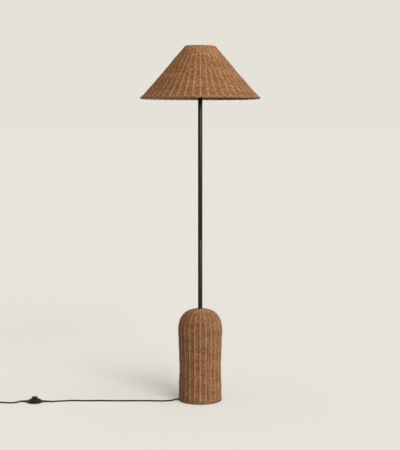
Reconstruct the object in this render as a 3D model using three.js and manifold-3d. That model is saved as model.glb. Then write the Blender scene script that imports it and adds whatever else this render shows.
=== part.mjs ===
// Rattan floor lamp: a domed wicker base over an iron weight, a two-piece steel pole, a wicker cone shade on a wire
// frame, a lampholder with its bulb, and a lead with a foot switch and a plug.
// Millimetres, +Z up. The origin is the middle of the base on the floor, and -Y is the front.
import * as THREE from 'three';
import { mergeVertices } from 'three/addons/utils/BufferGeometryUtils.js';
import Module from 'manifold-3d';

const wasm = await Module();
wasm.setup();

// Clearances
const GAP = 0.3;
const LEAD_CLEARANCE = 0.5;
const CUT_OVERRUN = 1;

// Whole lamp
const LAMP_HEIGHT = 1500;

// Wicker base
const BASE_HEIGHT = 394.5;
const BASE_RADIUS = 94;
const BASE_WALL = 7.5;
const BORDER_LIFT = 0.4;
const BORDER_HEIGHT = 8.3;
const BORDER_ROUND = 2.5;
// Height and radius of the wicker base's outline, as shares of BASE_HEIGHT and BASE_RADIUS
const base_outline_shares = [
  [0.0, 0.968], [0.17, 0.962], [0.342, 0.935], [0.55, 0.962], [0.763, 1.0], [0.83, 0.973], [0.88, 0.918],
  [0.923, 0.822], [0.956, 0.691], [0.98, 0.52], [0.993, 0.33],
];
const BASE_STAKE_COUNT = 24;

// Base weight, felt and clamping hardware
const FELT_THICKNESS = 3;
const FELT_INSET = 2;
const WEIGHT_RADIUS = 77;
const WEIGHT_THICKNESS = 36;
const WEIGHT_WEB = 10;
const RECESS_RADIUS = 24;
const WASHER_RADIUS = 14;
const WASHER_THICKNESS = 2;
const NUT_ACROSS_CORNERS = 17;
const NUT_THICKNESS = 5;
const ROD_WALL = 1.5;
const ROD_BELOW_NUT = 1;
const FLANGE_RADIUS = 32;
const FLANGE_THICKNESS = 3;
const FLANGE_SOCKET_WALL = 3.5;
const FLANGE_SOCKET_DEPTH = 14;

// Raised ribs of both weaves, where the weavers pass over the stakes
const WEAVE_RIB_HEIGHT = 2.2;
const WEAVE_RIB_CREST = 4;
const WEAVE_RIB_FOOT = 8;
const widest_rib_share = 0.6;

// Wire frame inside the base
const BASE_WIRE_RADIUS = 2;
const BASE_WIRE_COUNT = 3;
const HOOP_LIFT = 2;
const COLLAR_WALL = 7.5;
const COLLAR_HEIGHT = 10;

// Pole
const POLE_RADIUS = 9.5;
const POLE_WALL = 1.2;
const POLE_LOWER_LENGTH = 645;
const JOINER_LENGTH = 60;
const INSERT_LENGTH = 20;

// Shade
const SHADE_HEIGHT = 221.3;
const SHADE_RIM_RADIUS = 252.3;
const SHADE_TOP_LIP = 3.5;
const SHADE_WALL = 7.5;
// Height and radius of the cone's outline from its foot to its lip, as shares of SHADE_HEIGHT and SHADE_RIM_RADIUS
const shade_outline_shares = [
  [0.039, 0.99], [0.146, 0.895], [0.371, 0.722], [0.54, 0.591], [0.764, 0.429], [0.984, 0.26],
];
const SHADE_SECTOR_COUNT = 12;
const SHADE_LOW_STAKES = 4;
const SHADE_HIGH_STAKES = 3;
const SHADE_LAST_LOW_POINT = 3;
const RIM_BORDER_WIDTH = 9.6;
const RIM_BORDER_HEIGHT = 8.4;
const TOP_BORDER_WIDTH = 16.6;
const TOP_BORDER_HEIGHT = 8.8;
const SHADE_WIRE_RADIUS = 2;
const SHADE_RIB_RADIUS = 1.5;
const SHADE_RIB_COUNT = 4;
const RIM_WIRE_INSET = 8;
const TOP_WIRE_INSET = 6;

// Shade carrier
const CARRIER_DROP = 119;
const CARRIER_ARM_COUNT = 3;
const CARRIER_ARM_RADIUS = 2;
const CARRIER_RING_RADIUS = 28;
const CARRIER_RING_THICKNESS = 2;
const CARRIER_BEND_RADIUS = 44;
const CARRIER_BEND_SIZE = 8;
const CARRIER_ARM_BITE = 3;

// Lampholder
const HOLDER_RADIUS = 19.5;
const HOLDER_BORE = 14.5;
const HOLDER_SHOULDER_RADIUS = 23.5;
const HOLDER_SHOULDER_THICKNESS = 4;
const HOLDER_BELOW_SHOULDER = 58;
const HOLDER_ABOVE_NUT = 2;
const HOLDER_CAP_HEIGHT = 28;
const HOLDER_CAP_NECK_RADIUS = 12.5;
const HOLDER_CAP_WALL = 2.5;
const INSULATOR_THICKNESS = 10;
const NIPPLE_IN_POLE = 14;
const LOCK_NUT_THICKNESS = 4;
const CONTACT_WIDTH = 5;
const CONTACT_THICKNESS = 1.2;
const CONTACT_LENGTH = 16;
const SHADE_NUT_HEIGHT = 8;
const SHADE_NUT_RADIUS = 24;
const SHADE_NUT_FLUTES = 16;
const SHADE_NUT_FLUTE_DEPTH = 1;

// Bulb
const BULB_CAP_RADIUS = 13.1;
const BULB_CAP_HEIGHT = 22;
const BULB_CAP_WALL = 1;
const BULB_THREAD_COUNT = 4;
const BULB_THREAD_DEPTH = 0.7;
const BULB_TIP_RADIUS = 4.5;
const BULB_TIP_HEIGHT = 2;
const BULB_GLASS_RADIUS = 27.5;
const BULB_GLASS_HEIGHT = 80;
const BULB_GLASS_WALL = 1;
const BULB_NECK_HEIGHT = 14;
const BULB_STEM_RADIUS = 5;
const BULB_STEM_HEIGHT = 44;

// Lead
const CORD_DIAMETER = 6;
const CORD_STEP = 14;
const FLOOR_CLEARANCE = 0.1;
const LEAD_HEIGHT = 4.4;
const LEAD_BEND_RADIUS = 15;
const GROMMET_WALL = 0.8;
const GROMMET_INSIDE = 7;
const GROMMET_OUTSIDE = 4;

// Foot switch
const SWITCH_X = -701;
const SWITCH_Y = -43;
const SWITCH_RADIUS = 35;
const SWITCH_FOOT_RADIUS = 31;
const SWITCH_SPLIT = 5.2;
const SWITCH_DOME_HEIGHT = 17.5;
const SWITCH_WALL = 2;
const SWITCH_FLOOR = 2;
const BUTTON_RADIUS = 12.8;
const BUTTON_NECK_RADIUS = 10;
const BUTTON_CAP_THICKNESS = 3.8;
const BUTTON_TRAVEL = 3;
const BUTTON_FLANGE_RADIUS = 11.5;
const BUTTON_FLANGE_THICKNESS = 1.5;
const BUTTON_STEM_RADIUS = 2.5;
const SPRING_RADIUS = 6;
const SPRING_WIRE = 0.8;
const TERMINAL_WIDTH = 12;
const TERMINAL_LENGTH = 34;
const TERMINAL_HEIGHT = 4;
const POST_RADIUS = 3.6;
const POST_PLACE = 22;
const SCREW_RADIUS = 1.4;
const SCREW_HEAD_RADIUS = 2.6;
const SCREW_HEAD_HEIGHT = 1.2;
const SCREW_LENGTH = 8;
const RELIEF_LENGTH = 20;
const RELIEF_RADIUS = 4.2;
const RELIEF_TIP_RADIUS = 3.4;
const RELIEF_INSIDE = 3;

// Coil of spare lead
const COIL_X = -895;
const COIL_Y = -83.5;
const COIL_INNER_RADIUS = 17.7;
const COIL_PITCH = 6.6;
const COIL_TURNS_IN = 3;
const COIL_TURNS_OUT = 3.25;
const COIL_START_TURN = 0.25;

// Plug
const PLUG_X = -934;
const PLUG_Y = -169;
const PLUG_THICKNESS = 14;
const PLUG_LENGTH = 36;
const PLUG_WIDTH = 35;
const PLUG_NECK_WIDTH = 17;
const PLUG_BEVEL = 2.5;
const PLUG_RELIEF_LENGTH = 25;
const PLUG_RELIEF_RADIUS = 4.6;
const PLUG_RELIEF_TIP_RADIUS = 3.6;
const PIN_RADIUS = 2;
const PIN_LENGTH = 19;
const PIN_SPACING = 18.6;
const PIN_SEAT_DEPTH = 5;

// How finely round shapes are cut
const FINE_SIDES = 32;
const ROUND_SIDES = 20;
const SMALL_SIDES = 12;
const BORDER_CORNERS = 8;
const WIRE_SIDES = 6;
const CORD_SIDES = 8;
const COIL_SIDES = 6;
const COIL_STEPS = 24;
const ARM_STEPS = 12;
const BULB_SIDES = 16;
const BULB_STEPS = 4;
const DOME_STEPS = 4;
// Outer corners of a woven shell to each corner of its bore: a rib has four
const BASE_BORE_STEP = 2;
const SHADE_BORE_STEP = 4;

// Heights and radii that follow from the sizes above
const LEAD_BORE = CORD_DIAMETER / 2 + LEAD_CLEARANCE;
const ROD_RADIUS = LEAD_BORE + ROD_WALL;
const ROD_HOLE = ROD_RADIUS + GAP;
const POLE_BORE = POLE_RADIUS - POLE_WALL;
const POLE_HOLE = POLE_RADIUS + GAP;
const FACET_SAG = BASE_RADIUS * (1 - Math.cos(Math.PI / FINE_SIDES));
const WEIGHT_BOTTOM = FELT_THICKNESS + GAP;
const WEIGHT_TOP = WEIGHT_BOTTOM + WEIGHT_THICKNESS;
const WASHER_TOP = WEIGHT_TOP - WEIGHT_WEB - GAP;
const NUT_TOP = WASHER_TOP - WASHER_THICKNESS - GAP;
const ROD_BOTTOM = NUT_TOP - NUT_THICKNESS - ROD_BELOW_NUT;
const FLANGE_BOTTOM = WEIGHT_TOP + GAP;
const POLE_BOTTOM = FLANGE_BOTTOM + FLANGE_THICKNESS + GAP;
const POLE_JOINT = POLE_BOTTOM + POLE_LOWER_LENGTH;
const CARRIER_BOTTOM = LAMP_HEIGHT - CARRIER_DROP;
const HOLDER_SHOULDER_TOP = CARRIER_BOTTOM - GAP;
const HOLDER_BOTTOM = HOLDER_SHOULDER_TOP - HOLDER_BELOW_SHOULDER;
const POLE_TOP = HOLDER_BOTTOM - GAP;
const SHADE_NUT_BOTTOM = CARRIER_BOTTOM + CARRIER_RING_THICKNESS + GAP;
const HOLDER_TOP = SHADE_NUT_BOTTOM + SHADE_NUT_HEIGHT + HOLDER_ABOVE_NUT;
const HOLDER_SPLIT = HOLDER_BOTTOM + HOLDER_CAP_HEIGHT;
const INSULATOR_TOP = HOLDER_SPLIT + GAP + INSULATOR_THICKNESS;
const CONTACT_TOP = INSULATOR_TOP + GAP + CONTACT_THICKNESS;
const SHADE_BOTTOM = LAMP_HEIGHT - SHADE_HEIGHT;
const CORD_HEIGHT = CORD_DIAMETER / 2 + FLOOR_CLEARANCE;
const GROMMET_RADIUS = CORD_DIAMETER / 2 + GAP + GROMMET_WALL;
const CORD_EXIT = -(BASE_RADIUS * base_outline_shares[0][1] + GROMMET_OUTSIDE);

// Route of the lead on the floor, hand-chosen points: from the base to the switch
const CORD_TO_SWITCH = [
  [-95.3, 0, 4.4], [-99, 0, 4.4], [-104, -2.2, 4.1], [-111, -8, 3.4], [-121, -17, 3.1], [-134, -24, 3.1],
  [-150, -27.5, 3.1], [-170, -28, 3.1], [-190, -26, 3.1], [-225, -24.5, 3.1], [-263, -24.5, 3.1], [-300, -25, 3.1],
  [-338, -26, 3.1], [-378, -24.5, 3.1], [-415, -22.5, 3.1], [-446, -22.5, 3.1], [-478, -25, 3.1],
  [-506, -23.5, 3.1], [-530, -20.5, 3.1], [-552, -22, 3.1], [-578, -27.5, 3.1], [-604, -32.5, 3.1],
  [-622, -37.3, 3.1], [-632, -40.8, 3.9], [-640.5, -43, 5.1], [-645.7, -43, 5.2],
];
// From the switch to the coil, and from the coil to the plug
const CORD_TO_COIL = [
  [-756.3, -43, 5.2], [-760.5, -43, 5.2], [-766, -45.2, 4.7], [-773, -50.8, 3.6], [-782, -57.8, 3.1],
  [-792, -61.8, 3.1],
  [-803, -62.7, 3.1], [-814, -61.4, 3.1], [-826, -58.4, 3.1], [-838, -54.5, 3.1], [-852, -49.8, 3.1],
  [-866, -46.8, 3.1], [-878, -46, 3.1], [-888.7, -46, 3.1],
];
const CORD_TO_PLUG = [
  [-934.1, -89.8, 9.7], [-934.1, -94, 9.7], [-934.1, -100, 9], [-934.1, -107, 6.8], [-934, -114, 4.5],
  [-934, -121, 3.3], [-934, -129, 3.1], [-934, -137, 3.4], [-934, -146, 4.4], [-934, -154, 5.8], [-934, -161, 6.8],
  [-934, -165.5, 7], [-934, -168.7, 7],
];

// Finishes
const finish = (color, roughness, metalness = 0) => new THREE.MeshStandardMaterial({ color, roughness, metalness });
const WICKER = finish(0x9c6b45, 0.75);
const BORDER = finish(0x8d5d3a, 0.75);
const BLACK_METAL = finish(0x262321, 0.45, 0.4);
const STEEL = finish(0x8f9092, 0.4, 0.9);
const IRON = finish(0x3a3a3c, 0.7, 0.6);
const BRASS = finish(0xb8923f, 0.35, 0.9);
const BLACK_PLASTIC = finish(0x1e1d1c, 0.5);
const BLACK_RUBBER = finish(0x1b1a19, 0.8);
const LEAD_SHEATH = finish(0x232120, 0.6);
const CERAMIC = finish(0xe8e2d6, 0.4);
const OPAL_GLASS = finish(0xf4f1ea, 0.3);
const ALUMINIUM = finish(0xc3c4c6, 0.35, 0.9);
const FELT = finish(0x2c2a28, 0.95);

/** A geometry with its meeting corners joined, its empty triangles left out and its faces turned out. */
function closed(geometry) {
  const bare = new THREE.BufferGeometry();
  bare.setAttribute('position', geometry.attributes.position.clone());
  if (geometry.index) bare.setIndex(geometry.index.clone());
  const merged = mergeVertices(bare, GAP / 1000);
  const index = merged.index.array;
  const kept = [];
  for (let i = 0; i < index.length; i += 3) {
    const [a, b, c] = [index[i], index[i + 1], index[i + 2]];
    if (a !== b && b !== c && c !== a) kept.push(a, b, c);
  }
  merged.setIndex(kept);
  return facingOut(merged);
}

/** The same faces, turned round if they enclose a negative volume. */
function facingOut(geometry) {
  const position = geometry.attributes.position;
  const index = Array.from(geometry.index.array);
  const corner = (i) => new THREE.Vector3().fromBufferAttribute(position, index[i]);
  let volume = 0;
  for (let i = 0; i < index.length; i += 3) {
    volume += corner(i).dot(corner(i + 1).cross(corner(i + 2)));
  }
  if (volume < 0) {
    for (let i = 0; i < index.length; i += 3) {
      [index[i], index[i + 1]] = [index[i + 1], index[i]];
    }
  }
  geometry.setIndex(index);
  return geometry;
}

/** A closed geometry as a solid that can be joined and cut. */
function solid(geometry) {
  const merged = closed(geometry);
  return new wasm.Manifold(new wasm.Mesh({
    numProp: 3,
    vertProperties: Float32Array.from(merged.attributes.position.array),
    triVerts: Uint32Array.from(merged.index.array),
  }));
}

/** A joined or cut solid as a geometry. */
function geometryOf(manifold) {
  const mesh = manifold.getMesh();
  const geometry = new THREE.BufferGeometry();
  geometry.setAttribute('position', new THREE.BufferAttribute(Float32Array.from(mesh.vertProperties), 3));
  geometry.setIndex(Array.from(mesh.triVerts));
  return geometry;
}

/** A named piece. */
function piece(name, geometry, material) {
  const shape = closed(geometry);
  shape.computeVertexNormals();
  const mesh = new THREE.Mesh(shape, material);
  mesh.name = name;
  return mesh;
}

/** A group of pieces at a place. */
function groupAt(x, y, z, ...children) {
  const group = new THREE.Group();
  group.position.set(x, y, z);
  group.add(...children);
  return group;
}

/** A turned solid about Z from [radius, height] points. */
function turned(profile, sides = ROUND_SIDES) {
  const points = profile.map(([radius, height]) => new THREE.Vector2(radius, height));
  return new THREE.LatheGeometry(points, sides).rotateX(Math.PI / 2);
}

/** A cylinder about Z between two heights. */
function disc(radius, bottom, top, sides = ROUND_SIDES) {
  return turned([[0, bottom], [radius, bottom], [radius, top], [0, top]], sides);
}

/** A pipe about Z between two heights. */
function pipe(bore, radius, bottom, top, sides = ROUND_SIDES) {
  return turned([[bore, bottom], [radius, bottom], [radius, top], [bore, top], [bore, bottom]], sides);
}

/** A ring about Z of oval section. */
function ovalRing(ringRadius, height, halfWidth, halfHeight, corners = WIRE_SIDES) {
  const profile = [];
  for (let i = 0; i <= corners; i++) {
    const angle = (2 * Math.PI * (i % corners)) / corners;
    profile.push([ringRadius + halfWidth * Math.cos(angle), height + halfHeight * Math.sin(angle)]);
  }
  return turned(profile, FINE_SIDES);
}

/** A block between two corners. */
function block(low, high) {
  const size = high.map((value, axis) => value - low[axis]);
  const middle = high.map((value, axis) => (value + low[axis]) / 2);
  return new THREE.BoxGeometry(...size).translate(...middle);
}

/** A hexagon of the given width across its corners, with a hole. */
function hexNut(acrossCorners, hole, bottom, thickness) {
  const outline = new THREE.Shape();
  for (let i = 0; i < 6; i++) {
    const angle = (Math.PI * i) / 3;
    const [x, y] = [Math.cos(angle) * acrossCorners / 2, Math.sin(angle) * acrossCorners / 2];
    if (i === 0) outline.moveTo(x, y);
    else outline.lineTo(x, y);
  }
  outline.closePath();
  outline.holes.push(new THREE.Path().absarc(0, 0, hole, 0, 2 * Math.PI, true));
  return new THREE.ExtrudeGeometry(outline, { depth: thickness, bevelEnabled: false, curveSegments: SMALL_SIDES / 2 })
    .translate(0, 0, bottom);
}

/** A curve whose steps fall on its own points. */
class PointedCurve extends THREE.CatmullRomCurve3 {
  constructor(points) {
    super(points, false, 'centripetal');
  }

  getPointAt(share, target) {
    return this.getPoint(share, target);
  }

  getTangentAt(share, target) {
    return this.getTangent(share, target);
  }

  getSpacedPoints(count) {
    return this.getPoints(count);
  }
}

/** A round bar along a curve. */
function bar(curve, radius, steps, sides = WIRE_SIDES) {
  const section = new THREE.Shape();
  for (let i = 0; i < sides; i++) {
    const angle = (2 * Math.PI * i) / sides;
    const [x, y] = [radius * Math.cos(angle), radius * Math.sin(angle)];
    if (i === 0) section.moveTo(x, y);
    else section.lineTo(x, y);
  }
  section.closePath();
  return new THREE.ExtrudeGeometry(section, { extrudePath: curve, steps, bevelEnabled: false });
}

/** A round bar with a ring of corners at each point of its path. */
function barThrough(points, radius, sides = WIRE_SIDES) {
  return bar(new PointedCurve(points), radius, points.length - 1, sides);
}

/** Points moved square to their outline: towards the axis and down for an outline that runs up and inwards. */
function offsetOutline(points, distance) {
  return points.map((point, i) => {
    const before = points[Math.max(i - 1, 0)];
    const after = points[Math.min(i + 1, points.length - 1)];
    const along = new THREE.Vector2(after.x - before.x, after.y - before.y).normalize();
    return new THREE.Vector2(point.x - along.y * distance, point.y + along.x * distance);
  });
}

/** The height of an outline where it passes a radius, taken from its end near the axis. */
function heightAt(points, radius) {
  for (let i = points.length - 1; i > 0; i--) {
    const [inner, outer] = [points[i], points[i - 1]];
    if (outer.x >= radius) {
      const share = (radius - inner.x) / (outer.x - inner.x);
      return inner.y + (outer.y - inner.y) * share;
    }
  }
  return points[0].y;
}

/** The wicker base's outline from its border up to the pole. */
function baseOutline() {
  const points = base_outline_shares
    .map(([height, radius]) => new THREE.Vector2(radius * BASE_RADIUS, height * BASE_HEIGHT));
  points[0].y = BORDER_LIFT + BORDER_HEIGHT + GAP;
  points.push(new THREE.Vector2(POLE_HOLE + GAP, BASE_HEIGHT));
  return points;
}

/** An outline moved in by a distance, cut level with it at its foot and upright at its tip. */
function insetOutline(outline, distance) {
  const inside = offsetOutline(outline, distance);
  const last = outline.length - 1;
  const footWay = inside[1].clone().sub(inside[0]);
  const tipWay = inside[last].clone().sub(inside[last - 1]);
  inside[0].addScaledVector(footWay, (outline[0].y - inside[0].y) / footWay.y);
  inside[last].addScaledVector(tipWay, (outline[last].x - inside[last].x) / tipWay.x);
  return inside;
}

/** The four corners of each rib round one point of a woven outline, from its stakes' angles and raised shares. */
function ribbedRing(crest, valley, stakes) {
  const standing = stakes.filter((stake) => stake.raised > 0).length;
  const widest = (Math.PI * widest_rib_share) / standing;
  const [crestHalf, footHalf] = [WEAVE_RIB_CREST / 2 / crest.x, WEAVE_RIB_FOOT / 2 / crest.x];
  const squeeze = Math.min(1, widest / footHalf);
  const ring = [];
  for (const { angle, raised } of stakes) {
    const top = valley.clone().lerp(crest, raised);
    for (const [turn, at] of [[-footHalf, valley], [-crestHalf, top], [crestHalf, top], [footHalf, valley]]) {
      const way = angle + turn * squeeze;
      ring.push(new THREE.Vector3(at.x * Math.cos(way), at.x * Math.sin(way), at.y));
    }
  }
  return ring;
}

/** A woven shell with a raised rib over each stake: stakesAt gives the stakes round each point of the outline. */
function wovenShell(outline, wall, stakesAt, boreStep) {
  const valley = insetOutline(outline, WEAVE_RIB_HEIGHT);
  const inside = insetOutline(outline, wall);
  const outer = outline.map((crest, i) => ribbedRing(crest, valley[i], stakesAt(i)));
  const boreSides = outer[0].length / boreStep;
  const inner = inside.map((point) => Array.from({ length: boreSides }, (_, k) => {
    const angle = (2 * Math.PI * k) / boreSides;
    return new THREE.Vector3(point.x * Math.cos(angle), point.x * Math.sin(angle), point.y);
  }));
  const corners = [];
  const band = (low, high) => low.forEach((_, k) => {
    const next = (k + 1) % low.length;
    corners.push(low[k], low[next], high[next], low[k], high[next], high[k]);
  });
  const cap = (outerRing, innerRing, turn) => {
    const add = (a, b, c) => corners.push(...(turn ? [a, c, b] : [a, b, c]));
    innerRing.forEach((point, k) => {
      const far = ((k + 1) * boreStep) % outerRing.length;
      for (let j = k * boreStep; j < (k + 1) * boreStep; j++) {
        add(outerRing[j], outerRing[(j + 1) % outerRing.length], point);
      }
      add(outerRing[far], innerRing[(k + 1) % innerRing.length], point);
    });
  };
  for (let i = 0; i + 1 < outline.length; i++) {
    band(outer[i], outer[i + 1]);
    band(inner[i + 1], inner[i]);
  }
  cap(outer[0], inner[0], true);
  cap(outer[outline.length - 1], inner[outline.length - 1], false);
  return new THREE.BufferGeometry().setFromPoints(corners);
}

/** Evenly spread stakes, all raised. */
function evenStakes(count) {
  return Array.from({ length: count }, (_, k) => ({ angle: (2 * Math.PI * k) / count, raised: 1 }));
}

/** The cone's stakes: in each sector the middle one ends part of the way up, and its neighbours close in. */
function shadeStakes(pointNumber) {
  const low = pointNumber <= SHADE_LAST_LOW_POINT;
  const sector = (2 * Math.PI) / SHADE_SECTOR_COUNT;
  const stakes = [];
  for (let k = 0; k < SHADE_SECTOR_COUNT; k++) {
    for (let j = 0; j < SHADE_LOW_STAKES; j++) {
      const middle = j === SHADE_LOW_STAKES / 2;
      const place = j / SHADE_LOW_STAKES;
      const highPlace = middle ? place : (j > SHADE_LOW_STAKES / 2 ? j - 1 : j) / SHADE_HIGH_STAKES;
      stakes.push({ angle: sector * (k + (low ? place : highPlace)), raised: low || !middle ? 1 : 0 });
    }
  }
  return stakes;
}

/** The wicker dome, its foot border, and the wire frame and collar that it is woven on. */
function wickerBase() {
  const group = new THREE.Group();
  const outline = baseOutline();
  const stakes = evenStakes(BASE_STAKE_COUNT);
  group.add(piece('base_wicker_cover', wovenShell(outline, BASE_WALL, () => stakes, BASE_BORE_STEP), WICKER));

  const footRadius = base_outline_shares[0][1] * BASE_RADIUS;
  const footBore = footRadius - BASE_WALL;
  const footTop = BORDER_LIFT + BORDER_HEIGHT;
  const border = solid(turned([
    [footBore, BORDER_LIFT], [footRadius - BORDER_ROUND, BORDER_LIFT], [footRadius, BORDER_LIFT + BORDER_ROUND],
    [footRadius, footTop], [footBore, footTop], [footBore, BORDER_LIFT],
  ], FINE_SIDES));
  const notchHalf = GROMMET_RADIUS + GAP;
  const notch = solid(block(
    [-footRadius - CUT_OVERRUN, -notchHalf, BORDER_LIFT - CUT_OVERRUN],
    [-footBore + FACET_SAG + CUT_OVERRUN, notchHalf, footTop + CUT_OVERRUN],
  ));
  group.add(piece('base_wicker_border', geometryOf(border.subtract(notch)), BORDER));

  const inside = offsetOutline(outline, BASE_WALL);
  const collarRadius = POLE_HOLE + COLLAR_WALL;
  const collarTop = heightAt(inside, collarRadius) - GAP;
  group.add(piece('dome_collar', pipe(POLE_HOLE, collarRadius, collarTop - COLLAR_HEIGHT, collarTop), BLACK_METAL));

  const hoopHeight = footTop + GAP + HOOP_LIFT + BASE_WIRE_RADIUS;
  const hoopRadius = footBore - FACET_SAG - GAP - BASE_WIRE_RADIUS;
  group.add(piece('base_frame_hoop', ovalRing(hoopRadius, hoopHeight, BASE_WIRE_RADIUS, BASE_WIRE_RADIUS), STEEL));

  const path = offsetOutline(outline, BASE_WALL + FACET_SAG + GAP + BASE_WIRE_RADIUS);
  const wireFoot = hoopHeight + BASE_WIRE_RADIUS + GAP;
  const wireTip = collarRadius + GAP;
  const run = path.filter((point) => point.y > wireFoot + BASE_WIRE_RADIUS && point.x > wireTip + BASE_WIRE_RADIUS);
  run.unshift(new THREE.Vector2(hoopRadius, wireFoot));
  run.push(new THREE.Vector2(wireTip, heightAt(path, wireTip)));
  const wirePoints = run.map((point) => new THREE.Vector3(point.x, 0, point.y));
  for (let i = 0; i < BASE_WIRE_COUNT; i++) {
    const wire = piece(`base_frame_wire_${i + 1}`, barThrough(wirePoints, BASE_WIRE_RADIUS), STEEL);
    wire.rotation.z = (2 * Math.PI * i) / BASE_WIRE_COUNT;
    group.add(wire);
  }
  return group;
}

/** The iron weight with its felt, and what clamps the pole's foot to it. */
function weightedFoot() {
  const slotHalf = LEAD_BORE;
  const slotTop = LEAD_HEIGHT + LEAD_BORE;
  const slot = (radius, bottom) => solid(block(
    [-radius - CUT_OVERRUN, -slotHalf, bottom - CUT_OVERRUN],
    [0, slotHalf, slotTop],
  ));
  const feltRadius = WEIGHT_RADIUS - FELT_INSET;
  const felt = solid(pipe(RECESS_RADIUS, feltRadius, 0, FELT_THICKNESS, FINE_SIDES))
    .subtract(slot(feltRadius, 0));
  const weight = solid(turned([
    [RECESS_RADIUS, WEIGHT_BOTTOM], [WEIGHT_RADIUS, WEIGHT_BOTTOM], [WEIGHT_RADIUS, WEIGHT_TOP],
    [ROD_HOLE, WEIGHT_TOP], [ROD_HOLE, WASHER_TOP + GAP], [RECESS_RADIUS, WASHER_TOP + GAP],
    [RECESS_RADIUS, WEIGHT_BOTTOM],
  ], FINE_SIDES)).subtract(slot(WEIGHT_RADIUS, WEIGHT_BOTTOM));
  const washerBottom = WASHER_TOP - WASHER_THICKNESS;
  const nutBottom = NUT_TOP - NUT_THICKNESS;
  const flangeTop = FLANGE_BOTTOM + FLANGE_THICKNESS;
  const socketRadius = POLE_HOLE + FLANGE_SOCKET_WALL;
  const socketTop = flangeTop + FLANGE_SOCKET_DEPTH;
  const rodTop = POLE_BOTTOM + INSERT_LENGTH;
  const flange = turned([
    [ROD_HOLE, FLANGE_BOTTOM], [FLANGE_RADIUS, FLANGE_BOTTOM], [FLANGE_RADIUS, flangeTop],
    [socketRadius, flangeTop], [socketRadius, socketTop], [POLE_HOLE, socketTop], [POLE_HOLE, flangeTop],
    [ROD_HOLE, flangeTop], [ROD_HOLE, FLANGE_BOTTOM],
  ]);
  return groupAt(
    0, 0, 0,
    piece('base_felt_pad', geometryOf(felt), FELT),
    piece('base_weight', geometryOf(weight), IRON),
    piece('base_clamp_washer', pipe(ROD_HOLE, WASHER_RADIUS, washerBottom, WASHER_TOP), STEEL),
    piece('base_clamp_nut', hexNut(NUT_ACROSS_CORNERS, ROD_HOLE, nutBottom, NUT_THICKNESS), STEEL),
    piece('base_threaded_rod', pipe(LEAD_BORE, ROD_RADIUS, ROD_BOTTOM, rodTop, SMALL_SIDES), STEEL),
    piece('pole_foot_flange', flange, BLACK_METAL),
  );
}

/** The two pole tubes, the joiner inside them, and the threaded inserts at the two ends. */
function pole() {
  const insertRadius = POLE_BORE - GAP;
  const insert = (bottom) => pipe(ROD_HOLE, insertRadius, bottom, bottom + INSERT_LENGTH, SMALL_SIDES);
  const joinerBottom = POLE_JOINT - JOINER_LENGTH / 2;
  const joinerTop = joinerBottom + JOINER_LENGTH;
  return groupAt(
    0, 0, 0,
    piece('pole_foot_insert', insert(POLE_BOTTOM), STEEL),
    piece('pole_lower_tube', pipe(POLE_BORE, POLE_RADIUS, POLE_BOTTOM, POLE_JOINT), BLACK_METAL),
    piece('pole_joiner', pipe(LEAD_BORE, insertRadius, joinerBottom, joinerTop, SMALL_SIDES), STEEL),
    piece('pole_upper_tube', pipe(POLE_BORE, POLE_RADIUS, POLE_JOINT + GAP, POLE_TOP), BLACK_METAL),
    piece('pole_top_insert', insert(POLE_TOP - INSERT_LENGTH), STEEL),
  );
}

/** The lampholder: nipple, lock nut, cap, insulator, centre contact and threaded skirt. */
function lampholder() {
  const capFloor = HOLDER_BOTTOM + HOLDER_CAP_WALL;
  const capBore = HOLDER_RADIUS - HOLDER_CAP_WALL;
  const capSlopeTop = HOLDER_BOTTOM + (HOLDER_RADIUS - HOLDER_CAP_NECK_RADIUS);
  const cap = turned([
    [ROD_HOLE, HOLDER_BOTTOM], [HOLDER_CAP_NECK_RADIUS, HOLDER_BOTTOM], [HOLDER_RADIUS, capSlopeTop],
    [HOLDER_RADIUS, HOLDER_SPLIT], [capBore, HOLDER_SPLIT], [capBore, capSlopeTop],
    [HOLDER_CAP_NECK_RADIUS - HOLDER_CAP_WALL, capFloor], [ROD_HOLE, capFloor], [ROD_HOLE, HOLDER_BOTTOM],
  ]);
  const lockNutBottom = capFloor + GAP;
  const nippleTop = lockNutBottom + LOCK_NUT_THICKNESS + GAP;
  const skirtBottom = HOLDER_SPLIT + GAP;
  const shoulderBottom = HOLDER_SHOULDER_TOP - HOLDER_SHOULDER_THICKNESS;
  const skirt = turned([
    [HOLDER_BORE, skirtBottom], [HOLDER_RADIUS, skirtBottom], [HOLDER_RADIUS, shoulderBottom],
    [HOLDER_SHOULDER_RADIUS, shoulderBottom], [HOLDER_SHOULDER_RADIUS, HOLDER_SHOULDER_TOP],
    [HOLDER_RADIUS, HOLDER_SHOULDER_TOP], [HOLDER_RADIUS, HOLDER_TOP], [HOLDER_BORE, HOLDER_TOP],
    [HOLDER_BORE, skirtBottom],
  ]);
  const contactBottom = INSULATOR_TOP + GAP;
  const contact = block(
    [-CONTACT_LENGTH / 2, -CONTACT_WIDTH / 2, contactBottom],
    [CONTACT_LENGTH / 2, CONTACT_WIDTH / 2, CONTACT_TOP],
  );
  const nutCorners = 2 * (HOLDER_CAP_NECK_RADIUS - HOLDER_CAP_WALL - GAP);
  const nippleBottom = POLE_TOP - NIPPLE_IN_POLE;
  return groupAt(
    0, 0, 0,
    piece('lampholder_nipple', pipe(LEAD_BORE, ROD_RADIUS, nippleBottom, nippleTop, SMALL_SIDES), STEEL),
    piece('lampholder_lock_nut', hexNut(nutCorners, ROD_HOLE, lockNutBottom, LOCK_NUT_THICKNESS), STEEL),
    piece('lampholder_cap', cap, BLACK_PLASTIC),
    piece('lampholder_insulator', disc(HOLDER_BORE - GAP, skirtBottom, INSULATOR_TOP), CERAMIC),
    piece('lampholder_centre_contact', contact, BRASS),
    piece('lampholder_skirt', skirt, BLACK_PLASTIC),
  );
}

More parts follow.
